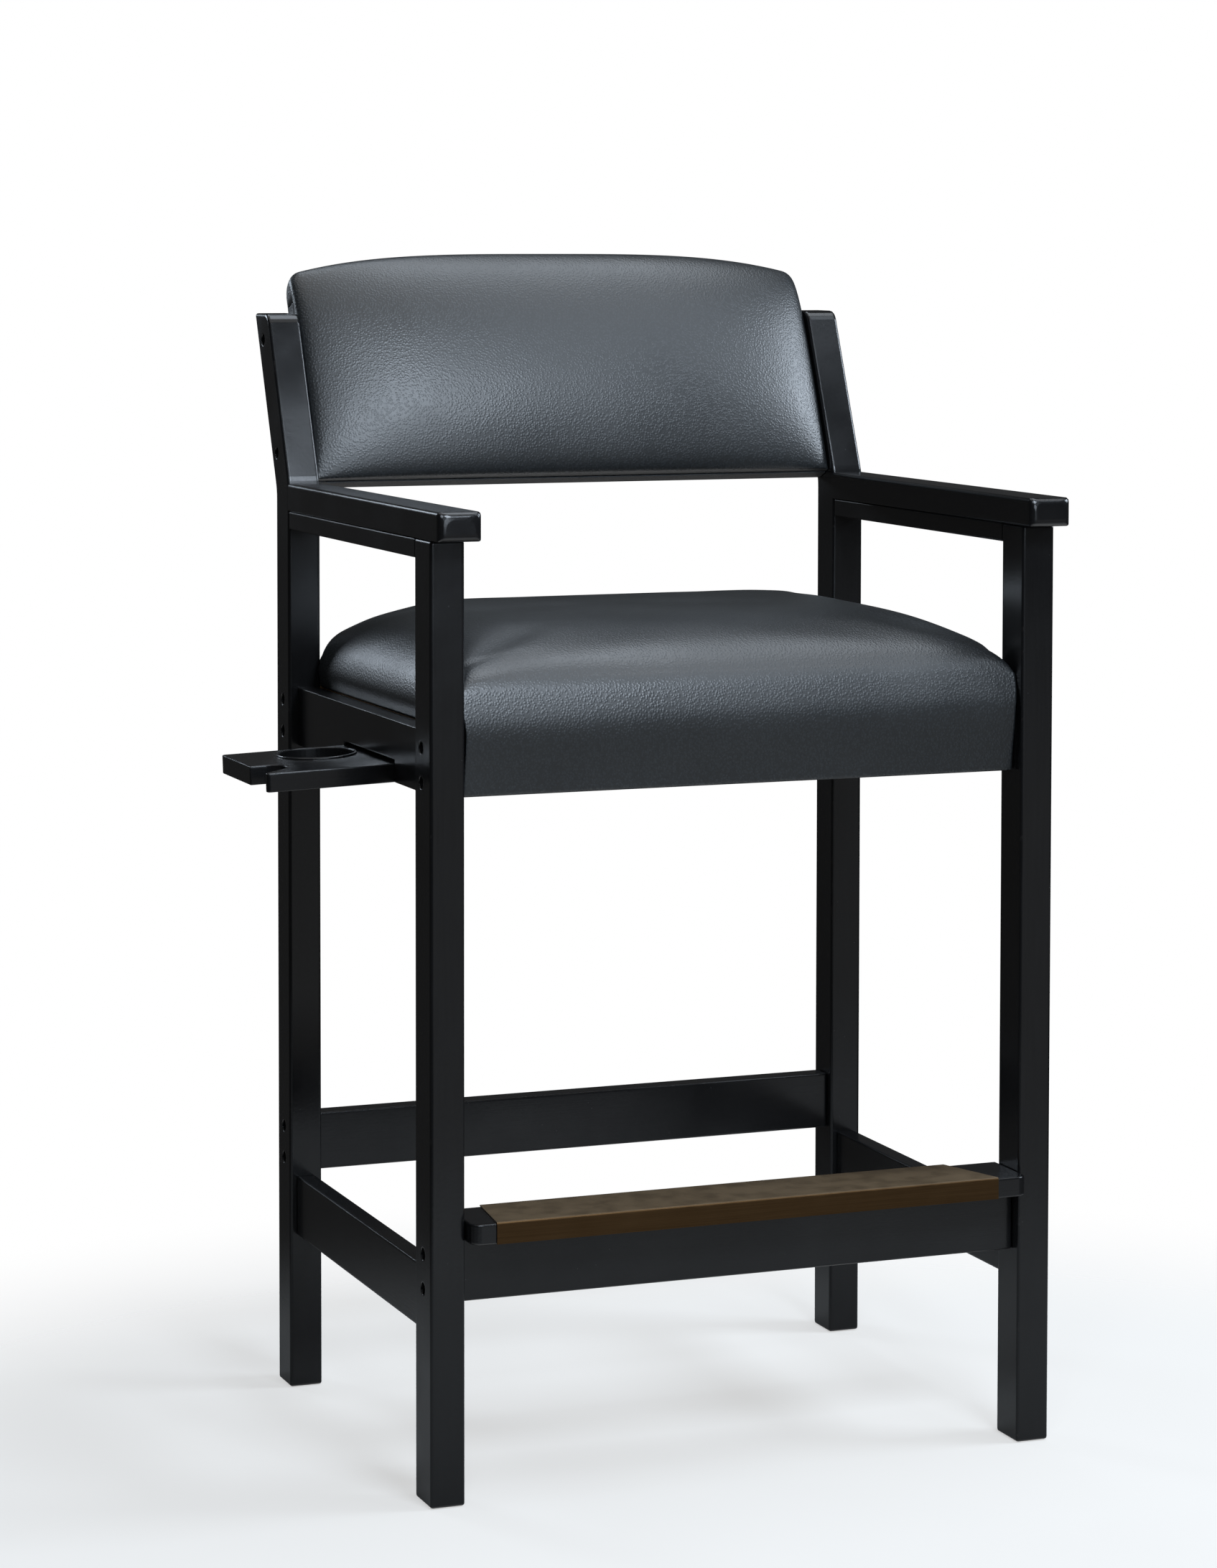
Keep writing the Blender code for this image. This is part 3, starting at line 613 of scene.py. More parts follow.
def moulded_plastic():
    """Black ABS, injection moulded: the eye sees an even fine spark texture and a satin gloss."""
    material, tree, shader, place = new_material("black_abs_moulded")
    spark_width = 0.8 * MM
    rub_width = 18 * MM
    sparks = add_node(tree, "ShaderNodeTexNoise", {"Vector": place, "Scale": 1 / spark_width, "Detail": 2})
    rubs = add_node(tree, "ShaderNodeTexNoise", {"Vector": place, "Scale": 1 / rub_width, "Detail": 3})
    gloss = add_node(
        tree,
        "ShaderNodeMapRange",
        {"Value": rubs.outputs[0], "From Min": 0.3, "From Max": 0.7, "To Min": 0.22, "To Max": 0.34},
    )
    tone = add_node(
        tree,
        "ShaderNodeMix",
        {0: rubs.outputs[0], 6: (*finish().plastic, 1), 7: (*finish().lacquer_light, 1)},
        data_type="RGBA",
    )
    relief = add_node(
        tree, "ShaderNodeBump", {"Height": sparks.outputs[0], "Strength": 0.08, "Distance": 0.1 * MM}
    )
    looks = {"Base Color": tone.outputs[2], "Roughness": gloss.outputs[0], "Normal": relief.outputs[0]}
    feed(tree, shader, {**looks, "IOR": 1.53})
    return material


def metal(name, base, low, high):
    """Plated or blackened steel of a fastener: the eye sees a plain metal with faint mottling."""
    material, tree, shader, place = new_material(name)
    mottle_width = 2.5 * MM
    darkest = 0.6
    mottle = add_node(tree, "ShaderNodeTexNoise", {"Vector": place, "Scale": 1 / mottle_width, "Detail": 4})
    tone = add_node(
        tree,
        "ShaderNodeMix",
        {0: mottle.outputs[0], 6: (*(darkest * part for part in base), 1), 7: (*base, 1)},
        data_type="RGBA",
    )
    dull = add_node(
        tree,
        "ShaderNodeMapRange",
        {"Value": mottle.outputs[0], "From Min": 0.3, "From Max": 0.7, "To Min": low, "To Max": high},
    )
    feed(tree, shader, {"Base Color": tone.outputs[2], "Roughness": dull.outputs[0], "Metallic": 1})
    return material


def bare_wood(along):
    """Planed beech, left bare: the eye sees pale brown, streaks along the grain and short flecks."""
    material, tree, shader, place = new_material(f"beech_planed_grain_{along}")
    ring_width = 5 * MM
    fleck_width = 1.2 * MM
    grain_stretch = 18
    stretch = drawn_out(along, grain_stretch)
    lengthwise = add_node(tree, "ShaderNodeMapping", {"Vector": place, "Scale": stretch}).outputs[0]
    rings = add_node(
        tree,
        "ShaderNodeTexNoise",
        {"Vector": lengthwise, "Scale": 1 / ring_width, "Detail": 5, "Distortion": 0.6},
    )
    flecks = add_node(
        tree, "ShaderNodeTexNoise", {"Vector": lengthwise, "Scale": 1 / fleck_width, "Detail": 2}
    )
    share = add_node(
        tree,
        "ShaderNodeMapRange",
        {"Value": rings.outputs[0], "From Min": 0.3, "From Max": 0.7, "To Min": 0, "To Max": 1},
    )
    tone = add_node(
        tree,
        "ShaderNodeMix",
        {0: share.outputs[0], 6: (*finish().wood_dark, 1), 7: (*finish().wood_light, 1)},
        data_type="RGBA",
    )
    relief = add_node(
        tree, "ShaderNodeBump", {"Height": flecks.outputs[0], "Strength": 0.25, "Distance": 0.2 * MM}
    )
    feed(tree, shader, {"Base Color": tone.outputs[2], "Roughness": 0.62, "Normal": relief.outputs[0]})
    return material


# Seat and back covers


def spread(count, crowding):
    """Places from -1 to 1 that crowd towards the ends."""
    steps = [2 * k / count - 1 for k in range(count + 1)]
    return [step * (1 + crowding - crowding * step * step) for step in steps]


def smooth(value, start, end):
    """Rises from 0 to 1 between start and end."""
    share = min(max((value - start) / (end - start), 0), 1)
    return share * share * (3 - 2 * share)


def seat_cover(material):
    """Vinyl-covered seat cushion, with its front drawn down over the front rail."""
    form = upholstery()
    low, high = corners("seat_cushion")
    leg = corners("front_leg_left")
    post = corners("rear_post_left")
    rail = corners("seat_rail_front")
    centre = chair_middle().x
    wide = (high.x - low.x) / 2
    clear = 0.6 * MM
    seated = 0.3 * MM
    ramp = 8 * MM
    front_inner = centre - leg[1].x - clear
    rear_inner = centre - post[1].x - clear
    base = rail[1].z + seated
    shoulder = base + form.boxing + form.front_rise
    flap = rail[0].y - seated
    middle = (low.y + high.y) / 2
    half = (high.y - low.y) / 2
    columns = 84
    rows = 72
    walls = 4
    drops = 8
    least_row = 0.4 * MM
    least_share = 1e-6
    across = spread(columns, crowding=0.25)

    def half_width(y):
        """Half of the cover's width, less between the front legs and between the rear posts."""
        front = (wide - front_inner) * (1 - smooth(y, leg[1].y + clear, leg[1].y + ramp))
        rear = (wide - rear_inner) * smooth(y, post[0].y - ramp, post[0].y - clear)
        return wide - front - rear

    def border(y):
        """Height of the upright border, raised at the front."""
        return form.boxing + form.front_rise * (1 - smooth(y, low.y, low.y + form.front_rise_depth))

    def wall(y, share):
        """Half width and height on the upright border, share of the way up."""
        return half_width(y) - form.seat_tuck * (1 - share) ** 2, base + (border(y) - drawn(0, y)) * share

    def top(x, y):
        """Height of the crowned top at a share of the half width and a place from front to rear."""
        along = abs((y - middle) / half)
        if y < middle:
            ends = max(1 - along**form.seat_front_power, 0) ** form.seat_front_softness
        else:
            ends = max(1 - along**form.seat_rear_power, 0)
        sides = max(1 - abs(x) ** form.seat_side_power, 0) ** form.seat_side_softness
        edge = base + border(y)
        if min(ends, sides) < least_share:
            return edge
        fullness = (ends**-form.seat_hip + sides**-form.seat_hip - 1) ** (-1 / form.seat_hip)
        return edge + (high.z - form.seat_start - edge) * fullness

    def drawn(side, y):
        """How far the cover is drawn down beside a front leg, that far in from its side."""
        near_leg = 1 - smooth(y, leg[1].y, leg[1].y + form.tuck_width)
        return form.tuck_depth * near_leg * math.exp(-((side / form.tuck_width) ** 2))

    def tucked(x, y):
        """Height of the top where the front legs draw it down."""
        return top(x, y) - drawn((1 - abs(x)) * half_width(y), y)

    def swollen(y, z):
        """Place from front to rear at that height, where the front leans back, swells and rolls over."""
        lean = form.seat_lean * min(max((z - base) / form.boxing, 0), 1) ** form.seat_lean_power
        share = (z - low.z) / (shoulder - low.z)
        rise = form.seat_bulge_rise
        over = max(share - 1, 0)
        bulge = math.sin(math.pi * min(share, 1) ** rise)
        bulge -= math.pi * rise * over / (1 + over / form.roll_fade)
        reach = form.roll_depth if z > base else flap - low.y
        return y + (lean - form.seat_bulge * bulge) * (1 - smooth(y, low.y, low.y + reach))

    def ring(y):
        """Row up one side of the cover, over its top and down the other side."""
        upright = [wall(y, k / walls) for k in range(walls)]
        points = [(centre - reach, swollen(y, z), z) for reach, z in upright]
        crest = [(x, tucked(x, y)) for x in across]
        points += [(centre + x * half_width(y), swollen(y, z), z) for x, z in crest]
        points += [(centre + reach, swollen(y, z), z) for reach, z in reversed(upright)]
        return points

    def level(y, reach, z):
        """Row straight across at one height."""
        return [(centre + x * reach, swollen(y, z), z) for x in across]

    def border_level(y, share):
        """Row across the front or rear border, share of the way up."""
        reach = wall(y, share)[0]
        heights = [base + (border(y) - drawn((1 - abs(x)) * reach, y)) * share for x in across]
        return [(centre + x * reach, swollen(y, z), z) for x, z in zip(across, heights)]

    places = [middle + half * step for step in spread(rows, crowding=0.5)]
    places = sorted([y for y in places if abs(y - flap) > least_row] + [flap])
    lip = [y for y in places if y <= flap]
    reach = wall(flap, 0)[0]
    heights = [base + (low.z - base) * k / drops for k in range(drops + 1)]
    grids = [
        [ring(y) for y in places],
        [border_level(low.y, k / walls) for k in range(walls + 1)],
        [border_level(high.y, k / walls) for k in range(walls + 1)],
        [level(low.y, reach, z) for z in heights],
        [level(flap, reach, z) for z in heights],
        [level(y, reach, low.z) for y in lip],
        [level(y, wall(y, 0)[0], base) for y in places if y >= flap],
    ]
    for side in (-1, 1):
        grids.append([[(centre + side * reach, swollen(y, z), z) for y in lip] for z in heights])
    piece = add_piece("seat_cover", grid_mesh("seat_cover", grids, merge=0.05 * MM), material)
    held_height = 2 * MM
    free_height = 14 * MM
    held_side = 4 * MM
    free_side = 26 * MM
    grip_depth = 22 * MM

    def hold(point):
        """Held at the rails, the legs and the posts, free on top."""
        side = half_width(point.y) - abs(point.x - centre)
        low_down = 1 - smooth(point.z, base + held_height, shoulder + free_height)
        at_side = 1 - smooth(side, held_side, free_side)
        at_leg = 1 - smooth(point.y, leg[1].y, leg[1].y + grip_depth)
        at_post = smooth(point.y, post[0].y - grip_depth, post[0].y)
        return max(low_down, at_leg * at_side, at_post * at_side)

    settle(piece, hold, form.pressure, form.swell)
    finish_cover(piece)
    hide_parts("seat_cushion")
    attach(piece, "chair_frame")


def back_cover(material):
    """Vinyl-covered back pad: a padded sleeve drawn down over the back board."""
    form = upholstery()
    low, high = leaning_box("back_cushion")
    board = leaning_box("back_board")
    centre = chair_middle().x
    reach = (high.x - low.x) / 2
    clear = 0.6 * MM
    face = low.y + form.back_crown
    crown = form.back_crown + form.back_extra - form.back_start
    near = board[0].y - clear
    far = board[1].y + clear
    slot_top = board[1].z + clear
    columns = 96
    rows = 26
    bends = 10
    rise = [(1 - math.cos(math.pi * k / rows)) / 2 for k in range(rows + 1)]
    turns = [math.pi / 2 * k / bends for k in range(1, bends)]

    def outside(share):
        """Section of the pad from its lower front edge over the top to its lower rear edge."""
        into_corner = max((abs(share) - 1) * reach + form.back_corner, 0)
        corner = form.back_corner - math.sqrt(max(form.back_corner**2 - into_corner**2, 0))
        height = high.z - low.z - form.back_arch * abs(share) ** form.back_arch_power - corner
        bulge = crown * math.sqrt(max(1 - abs(share) ** form.back_fullness, 0))
        ridge = face + (high.y - face) / 2
        points = []
        for k in rise:
            edge = face if k < 0.5 else ridge
            fullness = math.sqrt(max(1 - abs(2 * k - 1) ** form.back_fullness, 0))
            points.append((edge + (face - bulge - edge) * fullness, low.z + height * k))
        for turn in turns:
            drop = form.back_top_round * (1 - math.cos(turn))
            points.append((ridge + (high.y - ridge) * math.sin(turn), low.z + height - drop))
        points += [(high.y, low.z + (height - form.back_top_round) * k) for k in reversed(rise)]
        return points

    inside = [(near, low.z + (slot_top - low.z) * k) for k in rise]
    inside += [(near + (far - near) * k / bends, slot_top) for k in range(1, bends)]
    inside += [(far, low.z + (slot_top - low.z) * k) for k in reversed(rise)]

    def placed(share, points):
        """Section at a share of the half width, leaning with the back."""
        return [LEAN @ Vector((centre + share * reach, y, z)) for y, z in points]

    shares = spread(columns, crowding=0.45)
    outer = [placed(share, outside(share)) for share in shares]
    inner = [placed(share, inside) for share in shares]
    grids = [outer, inner, [outer[0], inner[0]], [outer[-1], inner[-1]]]
    for end in (0, -1):
        grids.append([[row[end] for row in outer], [row[end] for row in inner]])
    piece = add_piece("back_cover", grid_mesh("back_cover", grids, merge=0.05 * MM), material)
    post_top = leaning_box("rear_post_left")[1].z
    held_height = 3 * MM
    free_height = 20 * MM
    held_side = 3 * MM
    free_side = 18 * MM
    post_end = 10 * MM
    free_below_top = 40 * MM
    held_below_top = 15 * MM
    rear_grip = 0.8
    top_grip = 0.85

    def hold(point):
        """Held at the board, along the lower edge and between the posts, free in front and above."""
        turned = LEAN.inverted() @ point
        side = reach - abs(turned.x - centre)
        lower = 1 - smooth(turned.z, low.z + held_height, low.z + free_height)
        in_slot = 1 if near - clear < turned.y < far + clear and turned.z < slot_top + clear else 0
        behind = smooth(turned.y, far, high.y) * rear_grip
        beside_post = 1 - smooth(turned.z, post_top - post_end, post_top + post_end)
        between = beside_post * (1 - smooth(side, held_side, free_side))
        upper = smooth(turned.z, high.z - free_below_top, high.z - held_below_top) * top_grip
        return max(lower, in_slot, behind, between, upper)

    settle(piece, hold, form.pressure, form.swell)
    finish_cover(piece)
    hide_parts("back_cushion")
    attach(piece, "chair_frame")


# Hem and staples, made with Geometry Nodes


def start_tree(name, sizes):
    """Empty geometry tree with a named input for each size, given with its kind of socket."""
    tree = bpy.data.node_groups.new(name, "GeometryNodeTree")
    for label, kind in {**sizes, "Material": "NodeSocketMaterial"}.items():
        tree.interface.new_socket(label, in_out="INPUT", socket_type=kind)
    tree.interface.new_socket("Geometry", in_out="OUTPUT", socket_type="NodeSocketGeometry")
    return tree, add_node(tree, "NodeGroupInput").outputs


def end_tree(tree, geometry, material):
    """Ends a tree in real geometry that has its material."""
    real = add_node(tree, "GeometryNodeRealizeInstances", {"Geometry": geometry})
    coloured = add_node(
        tree, "GeometryNodeSetMaterial", {"Geometry": real.outputs[0], "Material": material}
    )
    add_node(tree, "NodeGroupOutput", {"Geometry": coloured.outputs[0]})


def run_tree(tree, name, material, values):
    """Runs a tree on an empty object and returns the plain piece that it makes."""
    maker = bpy.data.objects.new(f"{name}_maker", bpy.data.meshes.new(f"{name}_maker"))
    bpy.context.scene.collection.objects.link(maker)
    modifier = maker.modifiers.new("nodes", "NODES")
    modifier.node_group = tree
    sockets = {item.name: item.identifier for item in tree.interface.items_tree if item.in_out == "INPUT"}
    for label, value in {**values, "Material": material}.items():
        modifier[sockets[label]] = value
    return plain_mesh(maker, name, material)


def hem_tree():
    """Thin roll that wanders a little along a straight line."""
    steps = 220
    sides = 8
    noise_middle = (0.5, 0.5, 0.5)
    sizes = {
        "Start": "NodeSocketVector",
        "End": "NodeSocketVector",
        "Radius": "NodeSocketFloat",
        "Wave": "NodeSocketFloat",
        "Wave length": "NodeSocketFloat",
    }
    tree, given = start_tree("folded_hem", sizes)
    line = add_node(tree, "GeometryNodeCurvePrimitiveLine", {"Start": given["Start"], "End": given["End"]})
    points = add_node(tree, "GeometryNodeResampleCurve", {"Curve": line.outputs[0], "Count": steps})
    pace = add_node(tree, "ShaderNodeMath", {0: 1.0, 1: given["Wave length"]}, operation="DIVIDE")
    wander = add_node(tree, "ShaderNodeTexNoise", {"Scale": pace.outputs[0], "Detail": 3.0})
    centred = add_node(
        tree,
        "ShaderNodeVectorMath",
        {0: wander.outputs["Color"], 1: noise_middle},
        operation="SUBTRACT",
    )
    offset = add_node(
        tree,
        "ShaderNodeVectorMath",
        {0: centred.outputs[0], "Scale": given["Wave"]},
        operation="SCALE",
    )
    bent = add_node(
        tree, "GeometryNodeSetPosition", {"Geometry": points.outputs[0], "Offset": offset.outputs[0]}
    )
    profile = add_node(
        tree, "GeometryNodeCurvePrimitiveCircle", {"Resolution": sides, "Radius": given["Radius"]}
    )
    tube = add_node(
        tree,
        "GeometryNodeCurveToMesh",
        {"Curve": bent.outputs[0], "Profile Curve": profile.outputs[0], "Fill Caps": True},
    )
    end_tree(tree, tube.outputs[0], given["Material"])
    return tree


def row_tree():
    """Evenly spaced copies of a fastener along a line, each turned a little by chance."""
    sizes = {
        "Fastener": "NodeSocketObject",
        "Start": "NodeSocketVector",
        "End": "NodeSocketVector",
        "Count": "NodeSocketInt",
        "Looseness": "NodeSocketFloat",
        "Seed": "NodeSocketInt",
    }
    tree, given = start_tree("fastener_row", sizes)
    line = add_node(
        tree,
        "GeometryNodeMeshLine",
        {"Count": given["Count"], "Start Location": given["Start"], "Offset": given["End"]},
        mode="END_POINTS",
    )
    shape = add_node(tree, "GeometryNodeObjectInfo", {"Object": given["Fastener"]})
    loose = add_node(tree, "ShaderNodeMath", {0: given["Looseness"], 1: -1.0}, operation="MULTIPLY")
    spin = add_node(
        tree,
        "FunctionNodeRandomValue",
        {2: loose.outputs[0], 3: given["Looseness"], "Seed": given["Seed"]},
        data_type="FLOAT",
    )
    about = add_node(tree, "ShaderNodeCombineXYZ", {"Z": spin.outputs[1]})
    copies = add_node(
        tree,
        "GeometryNodeInstanceOnPoints",
        {"Points": line.outputs[0], "Instance": shape.outputs["Geometry"]},
    )
    turned = add_node(
        tree, "GeometryNodeRotateInstances", {"Instances": copies.outputs[0], "Rotation": about.outputs[0]}
    )
    end_tree(tree, turned.outputs[0], given["Material"])
    return tree


def folded_hem(material):
    """Folded edge of the back cover where it meets the underside of the back board."""
    form = upholstery()
    low, high = leaning_box("back_cushion")
    board = leaning_box("back_board")
    inset = 12 * MM
    y = board[0].y - form.hem_radius / 2
    z = low.z - form.hem_radius
    values = {
        "Start": LEAN @ Vector((low.x + inset, y, z)),
        "End": LEAN @ Vector((high.x - inset, y, z)),
        "Radius": form.hem_radius,
        "Wave": form.hem_wave,
        "Wave length": form.hem_wave_length,
    }
    piece = run_tree(hem_tree(), "back_cover_hem", material, values)
    piece.data.shade_smooth()
    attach(piece, "chair_frame")


def turned_edge(material):
    """Edge of the seat cover, turned under the front rail and puckered a little between its staples."""
    form = upholstery()
    rail = corners("seat_rail_front")
    inset = 4 * MM
    clear = 0.1 * MM
    start = rail[0].x + inset
    span = rail[1].x - inset - start
    columns = 160
    rows = 4

    def place(column, row):
        """Point of the edge, which sags a little between two staples."""
        along = span * column / columns
        across = row / rows
        sag = form.pucker * across * math.sin(math.pi * along / form.staple_pitch) ** 2
        return start + along, rail[0].y + form.turned_edge * across, rail[0].z - clear - sag

    grid = [[place(column, row) for column in range(columns + 1)] for row in range(rows + 1)]
    piece = add_piece("seat_cover_turned_edge", grid_mesh("seat_cover_turned_edge", [grid]), material)
    upward = piece.data.polygons[0].normal.z > 0
    walls = piece.modifiers.new("thickness", "SOLIDIFY")
    walls.thickness = form.cover_thickness
    walls.offset = -1 if upward else 1
    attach(piece, "chair_frame")


def staple():
    """One wire staple along x, with its legs up; only a maker for the row."""
    form = upholstery()
    half = form.staple_width / 2
    wire = form.staple_wire
    leg = [(-half, form.staple_leg), (-half, 2 * wire), (-half + wire, 0)]
    path = leg + [(-x, z) for x, z in reversed(leg)]
    sides = 6
    turns = [2 * math.pi * k / sides for k in range(sides + 1)]
    rings = []
    for k, (x, z) in enumerate(path):
        before = Vector(path[max(k - 1, 0)])
        after = Vector(path[min(k + 1, len(path) - 1)])
        run = (after - before).normalized()
        ring = []
        for turn in turns:
            out = wire * math.cos(turn)
            ring.append((x - run.y * out, wire * math.sin(turn), z + run.x * out))
        rings.append(ring)
    first, last = [[(x, 0, z)] * len(turns) for x, z in (path[0], path[-1])]
    mesh = grid_mesh("staple_maker", [[first, *rings, last]], merge=0.01 * MM)
    shape = bpy.data.objects.new("staple_maker", mesh)
    bpy.context.scene.collection.objects.link(shape)
    return shape


def staple_row(material):
    """Staples that hold the turned edge of the seat cover to the front rail."""
    form = upholstery()
    rail = corners("seat_rail_front")
    inset = 14 * MM
    share_in = 0.55
    y = rail[0].y + form.turned_edge * share_in
    z = rail[0].z - form.cover_thickness - form.staple_wire / 2
    count = int((rail[1].x - rail[0].x - 2 * inset) / form.staple_pitch) + 1
    shape = staple()
    values = {
        "Fastener": shape,
        "Start": Vector((rail[0].x + inset, y, z)),
        "End": Vector((rail[1].x - inset, y, z)),
        "Count": count,
        "Looseness": 0.16,
        "Seed": 4,
    }
    piece = run_tree(row_tree(), "seat_cover_staples", material, values)
    bpy.data.objects.remove(shape, do_unlink=True)
    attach(piece, "chair_frame")


# Stage

WHITE = (1, 1, 1, 1)


def background_share(tree):
    """1 for the rays that show the background: camera, glossy and transmission rays."""
    path = add_node(tree, "ShaderNodeLightPath").outputs
    direct = add_node(
        tree, "ShaderNodeMath", {0: path["Is Camera Ray"], 1: path["Is Glossy Ray"]}, operation="MAXIMUM"
    )
    either = add_node(
        tree, "ShaderNodeMath", {0: direct.outputs[0], 1: path["Is Transmission Ray"]}, operation="MAXIMUM"
    )
    return either.outputs[0]


def light_the_world():
    """White to look at, an even dim light otherwise."""
    world = bpy.data.worlds.new("white_studio")
    bpy.context.scene.world = world
    tree = empty_tree(world)
    even = add_node(tree, "ShaderNodeBackground", {"Color": WHITE, "Strength": studio().ambient})
    white = add_node(tree, "ShaderNodeBackground", {"Color": WHITE, "Strength": 1.0})
    mixed = add_node(
        tree, "ShaderNodeMixShader", {0: background_share(tree), 1: even.outputs[0], 2: white.outputs[0]}
    )
    add_node(tree, "ShaderNodeOutputWorld", {"Surface": mixed.outputs[0]})


def paper_floor():
    """Round sheet of thin pale paper that keeps the chair's shadow and fades out into the white."""
    radius = 3.0
    centre = (0, -0.45, 0)
    fade_start = 0.75
    fade_end = 1.35
    material = bpy.data.materials.new("white_paper_matt")
    tree = empty_tree(material)
    place = add_node(tree, "ShaderNodeTexCoord").outputs["Object"]
    distance = add_node(tree, "ShaderNodeVectorMath", {0: place, 1: centre}, operation="DISTANCE")
    fade = add_node(
        tree,
        "ShaderNodeMapRange",
        {
            "Value": distance.outputs["Value"],
            "From Min": fade_start,
            "From Max": fade_end,
            "To Min": studio().paper,
            "To Max": 0,
        },
        interpolation_type="SMOOTHSTEP",
    )
    paper = add_node(tree, "ShaderNodeBsdfDiffuse", {"Color": (*finish().floor, 1)})
    clear = add_node(tree, "ShaderNodeBsdfTransparent")
    mixed = add_node(
        tree, "ShaderNodeMixShader", {0: fade.outputs[0], 1: clear.outputs[0], 2: paper.outputs[0]}
    )
    add_node(tree, "ShaderNodeOutputMaterial", {"Surface": mixed.outputs[0]})
    shape = bmesh.new()
    bmesh.ops.create_circle(shape, cap_ends=True, segments=64, radius=radius)
    mesh = bpy.data.meshes.new("paper_floor")
    shape.to_mesh(mesh)
    shape.free()
    add_piece("paper_floor", mesh, material)


def card(name, turns, radius, low, high, strength):
    """Curved card that only the gloss sees, from one turn to the other in degrees to the right."""
    material = bpy.data.materials.new(f"{name}_board")
    tree = empty_tree(material)
    glow = add_node(tree, "ShaderNodeEmission", {"Color": WHITE, "Strength": strength})
    add_node(tree, "ShaderNodeOutputMaterial", {"Surface": glow.outputs[0]})
    steps = 48
    start, end = turns
    turned = [math.radians(start + (end - start) * k / steps) for k in range(steps + 1)]
    arc = [(radius * math.sin(turn), -radius * math.cos(turn)) for turn in turned]
    rows = [[(x, y, z) for x, y in arc] for z in (low, high)]
    piece = add_piece(name, grid_mesh(name, [rows]), material)
    piece.visible_camera = False
    piece.visible_diffuse = False
    piece.visible_shadow = False
    piece.visible_transmission = False


def cards():
    """Ring of dark cards, a pale one low in front for the front faces and one behind for the arm tops."""
    card("dark_cards", (0, 360), 5.0, -5.0, 8.0, studio().surround)
    card("front_card", (0, 46), 3.0, -0.6, 0.5, studio().front_card)
    card("rear_card", (135, 178), 4.0, 0.4, 2.2, studio().rear_card)


def soft_light(name, turn, rise, width, height, power):
    """Soft box that looks at the seat, so many degrees to the right of the front and so many up."""
    seat_from_front = 0.25
    seat_height = 0.85
    distance = 3.0
    aim = chair_middle() + Vector((0, seat_from_front, seat_height))
    toward = Matrix.Rotation(math.radians(turn), 3, "Z") @ Matrix.Rotation(-math.radians(rise), 3, "X")
    lamp = bpy.data.lights.new(name, "AREA")
    lamp.shape = "RECTANGLE"
    lamp.size = width
    lamp.size_y = height
    lamp.energy = power
    lamp.color = studio().light_colour
    item = bpy.data.objects.new(name, lamp)
    item.location = aim + toward @ Vector((0, -distance, 0))
    item.rotation_euler = (aim - item.location).to_track_quat("-Z", "Y").to_euler()
    item.visible_camera = False
    bpy.context.scene.collection.objects.link(item)


def soft_lights():
    """Boxes above, right, in front and behind, and weak ones for the left edges and the front faces."""
    soft_light("overhead", 105, 73, 1.6, 1.3, studio().overhead_power)
    soft_light("right", 72, 28, 1.0, 0.8, studio().right_power)
    soft_light("high", 45, 52, 0.8, 0.8, studio().high_power)
    soft_light("rear", 175, 58, 1.2, 0.8, studio().rear_power)
    soft_light("front", 4, 35, 0.9, 0.7, studio().front_power)
    soft_light("edge", -26, 32, 0.5, 0.6, studio().edge_power)
    soft_light("kicker", 210, 16, 0.8, 0.8, studio().kicker_power)
    soft_light("fill", 0, 8, 0.8, 0.8, studio().fill_power)


def place_camera():
    """Camera at the photograph's place, with its lens shifted instead of tilted further."""
    film_width = 36
    view = studio()
    camera = bpy.data.cameras.new("camera")
    camera.sensor_width = film_width
    camera.lens = view.focal_length
    camera.shift_y = -view.drop
    item = bpy.data.objects.new("camera", camera)
    item.location = chair_middle() + Vector(view.stand)
    item.rotation_euler = (math.pi / 2 - view.tilt, view.roll, -view.heading)
    bpy.context.scene.collection.objects.link(item)
    bpy.context.scene.camera = item


# Operators


class CHAIR_OT_finishes(bpy.types.Operator):
    """Give every solid of the chair its finish"""

    bl_idname = "chair.finishes"
    bl_label = "Finishes"

    def execute(self, context):
        eased = {along: black_lacquer(along, finish().edge_round) for along in "xyz"}
        flush = {along: black_lacquer(along, finish().flush_round) for along in "xyz"}
        beech = {along: bare_wood(along) for along in "xyz"}
        by_slot = {
            "bronze_plate": brushed_bronze(),
            "black_plastic": moulded_plastic(),
            "black_steel": metal("steel_black_oxide", finish().steel, 0.32, 0.45),
            "black_vinyl": grained_vinyl(),
        }
        for name, node in frame["nodes"].items():
            slot = slot_of(name)
            low, high = corners(name)
            along = max("xyz", key=lambda axis: getattr(high - low, axis))
            if slot == "black_lacquer":
                material = flush[along] if name.startswith("arm_rail") else eased[along]
            elif slot == "bare_wood":
                material = beech[along]
            else:
                material = by_slot[slot]
            node.data.materials.clear()
            node.data.materials.append(material)
        return {"FINISHED"}


class CHAIR_OT_seat(bpy.types.Operator):
    """Make the seat cover"""

    bl_idname = "chair.seat"
    bl_label = "Seat cover"

    def execute(self, context):
        seat_cover(bpy.data.materials[VINYL])
        return {"FINISHED"}


class CHAIR_OT_back(bpy.types.Operator):
    """Make the back cover"""

    bl_idname = "chair.back"
    bl_label = "Back cover"

    def execute(self, context):
        back_cover(bpy.data.materials[VINYL])
        return {"FINISHED"}


class CHAIR_OT_hem(bpy.types.Operator):
    """Make the folded hem under the back pad"""

    bl_idname = "chair.hem"
    bl_label = "Back hem"

    def execute(self, context):
        folded_hem(woven_backing())
        return {"FINISHED"}


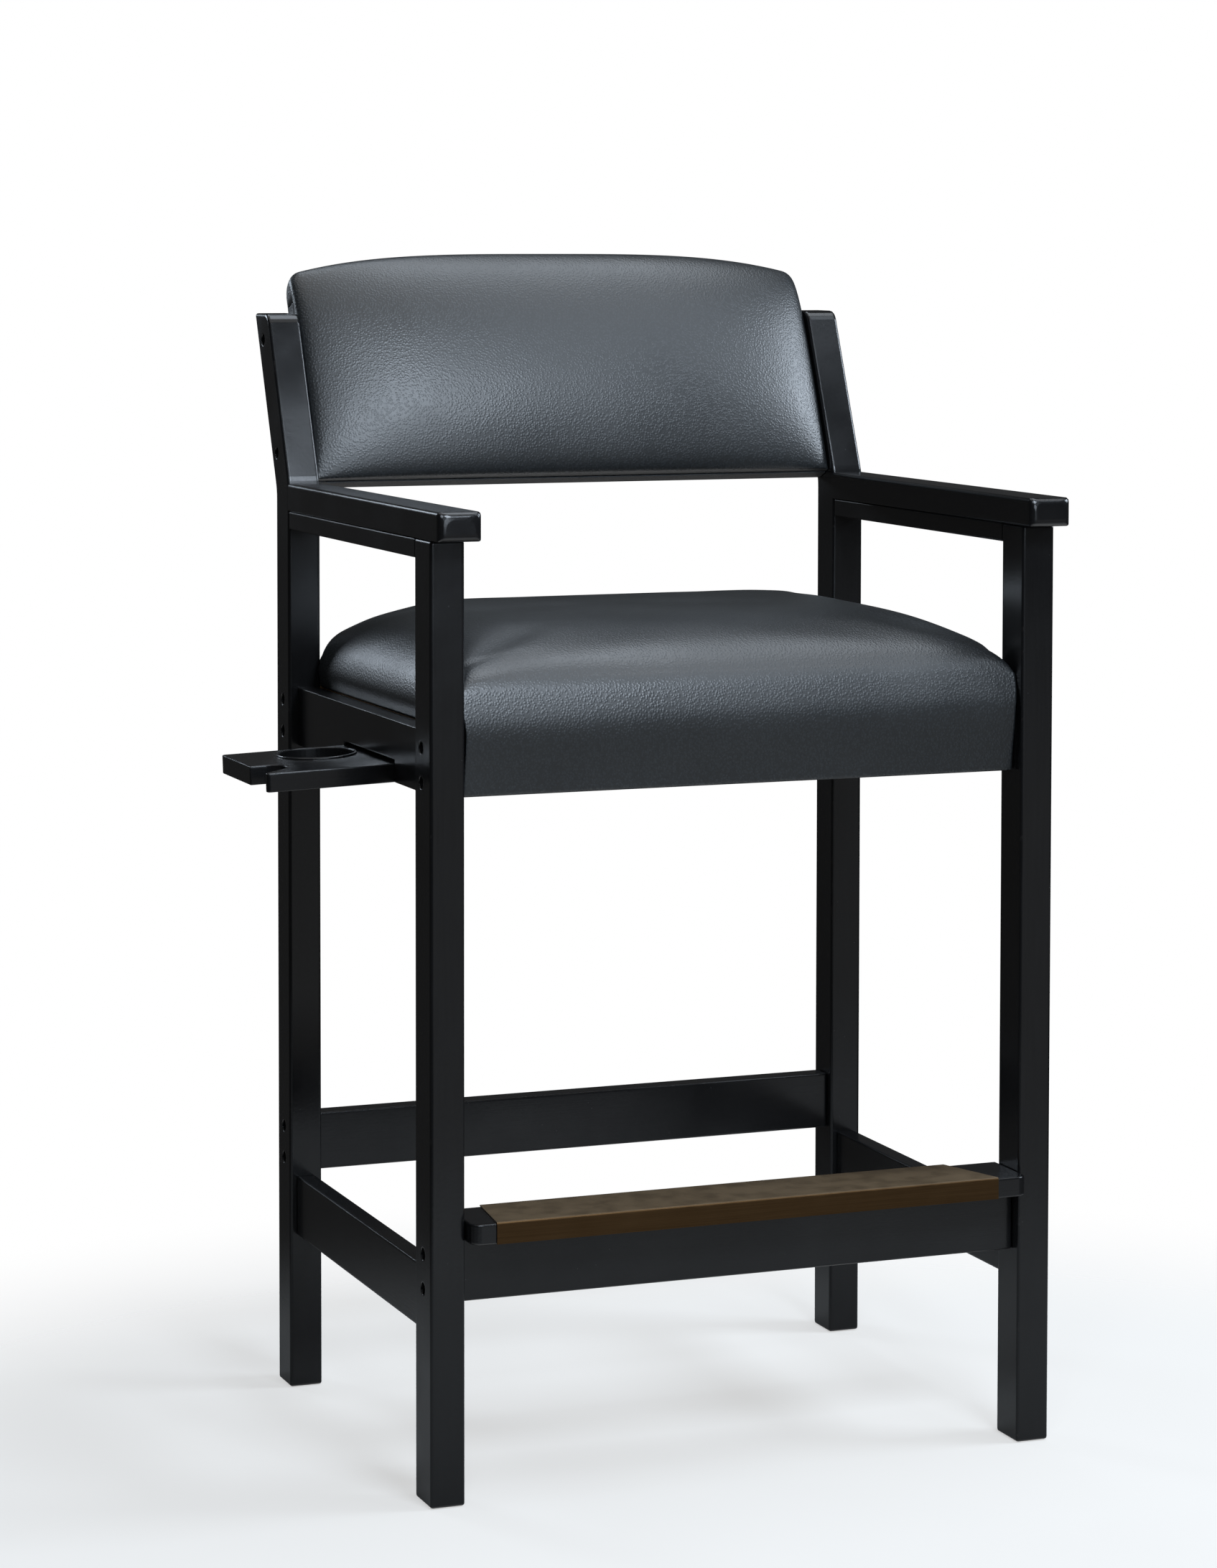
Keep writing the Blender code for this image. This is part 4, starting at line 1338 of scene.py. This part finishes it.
class CHAIR_OT_turned_edge(bpy.types.Operator):
    """Make the edge of the seat cover that is turned under the front rail"""

    bl_idname = "chair.turned_edge"
    bl_label = "Turned edge"

    def execute(self, context):
        turned_edge(bpy.data.materials[VINYL])
        return {"FINISHED"}


class CHAIR_OT_staples(bpy.types.Operator):
    """Make the staples under the front rail"""

    bl_idname = "chair.staples"
    bl_label = "Staples"

    def execute(self, context):
        staple_row(metal("steel_zinc_plated", finish().zinc, 0.28, 0.42))
        return {"FINISHED"}


class CHAIR_OT_stage(bpy.types.Operator):
    """Set up the floor, the light and the camera"""

    bl_idname = "chair.stage"
    bl_label = "Stage"

    def execute(self, context):
        light_the_world()
        paper_floor()
        cards()
        soft_lights()
        place_camera()
        context.scene.view_settings.view_transform = "Standard"
        return {"FINISHED"}


class CHAIR_PT_build(bpy.types.Panel):
    """Lists the steps that build the chair"""

    bl_idname = "CHAIR_PT_build"
    bl_label = "Spectator chair"
    bl_space_type = "VIEW_3D"
    bl_region_type = "UI"
    bl_category = "Chair"

    def draw(self, context):
        for step in STEPS:
            self.layout.operator(step.bl_idname)
        for group in (upholstery(), finish(), studio()):
            column = self.layout.column(align=True)
            for name in group.__annotations__:
                column.prop(group, name)


SETTINGS = (ChairUpholstery, ChairFinish, ChairStudio)
STEPS = (
    CHAIR_OT_finishes,
    CHAIR_OT_seat,
    CHAIR_OT_back,
    CHAIR_OT_hem,
    CHAIR_OT_turned_edge,
    CHAIR_OT_staples,
    CHAIR_OT_stage,
)


def register():
    for item in (*SETTINGS, *STEPS, CHAIR_PT_build):
        bpy.utils.register_class(item)
    bpy.types.Scene.chair_upholstery = PointerProperty(type=ChairUpholstery)
    bpy.types.Scene.chair_finish = PointerProperty(type=ChairFinish)
    bpy.types.Scene.chair_studio = PointerProperty(type=ChairStudio)


def unregister():
    del bpy.types.Scene.chair_studio
    del bpy.types.Scene.chair_finish
    del bpy.types.Scene.chair_upholstery
    for item in reversed((*SETTINGS, *STEPS, CHAIR_PT_build)):
        bpy.utils.unregister_class(item)


def main():
    register()
    bpy.ops.chair.finishes()
    bpy.ops.chair.seat()
    bpy.ops.chair.back()
    bpy.ops.chair.hem()
    bpy.ops.chair.turned_edge()
    bpy.ops.chair.staples()
    bpy.ops.chair.stage()


if __name__ == "__main__":
    main()
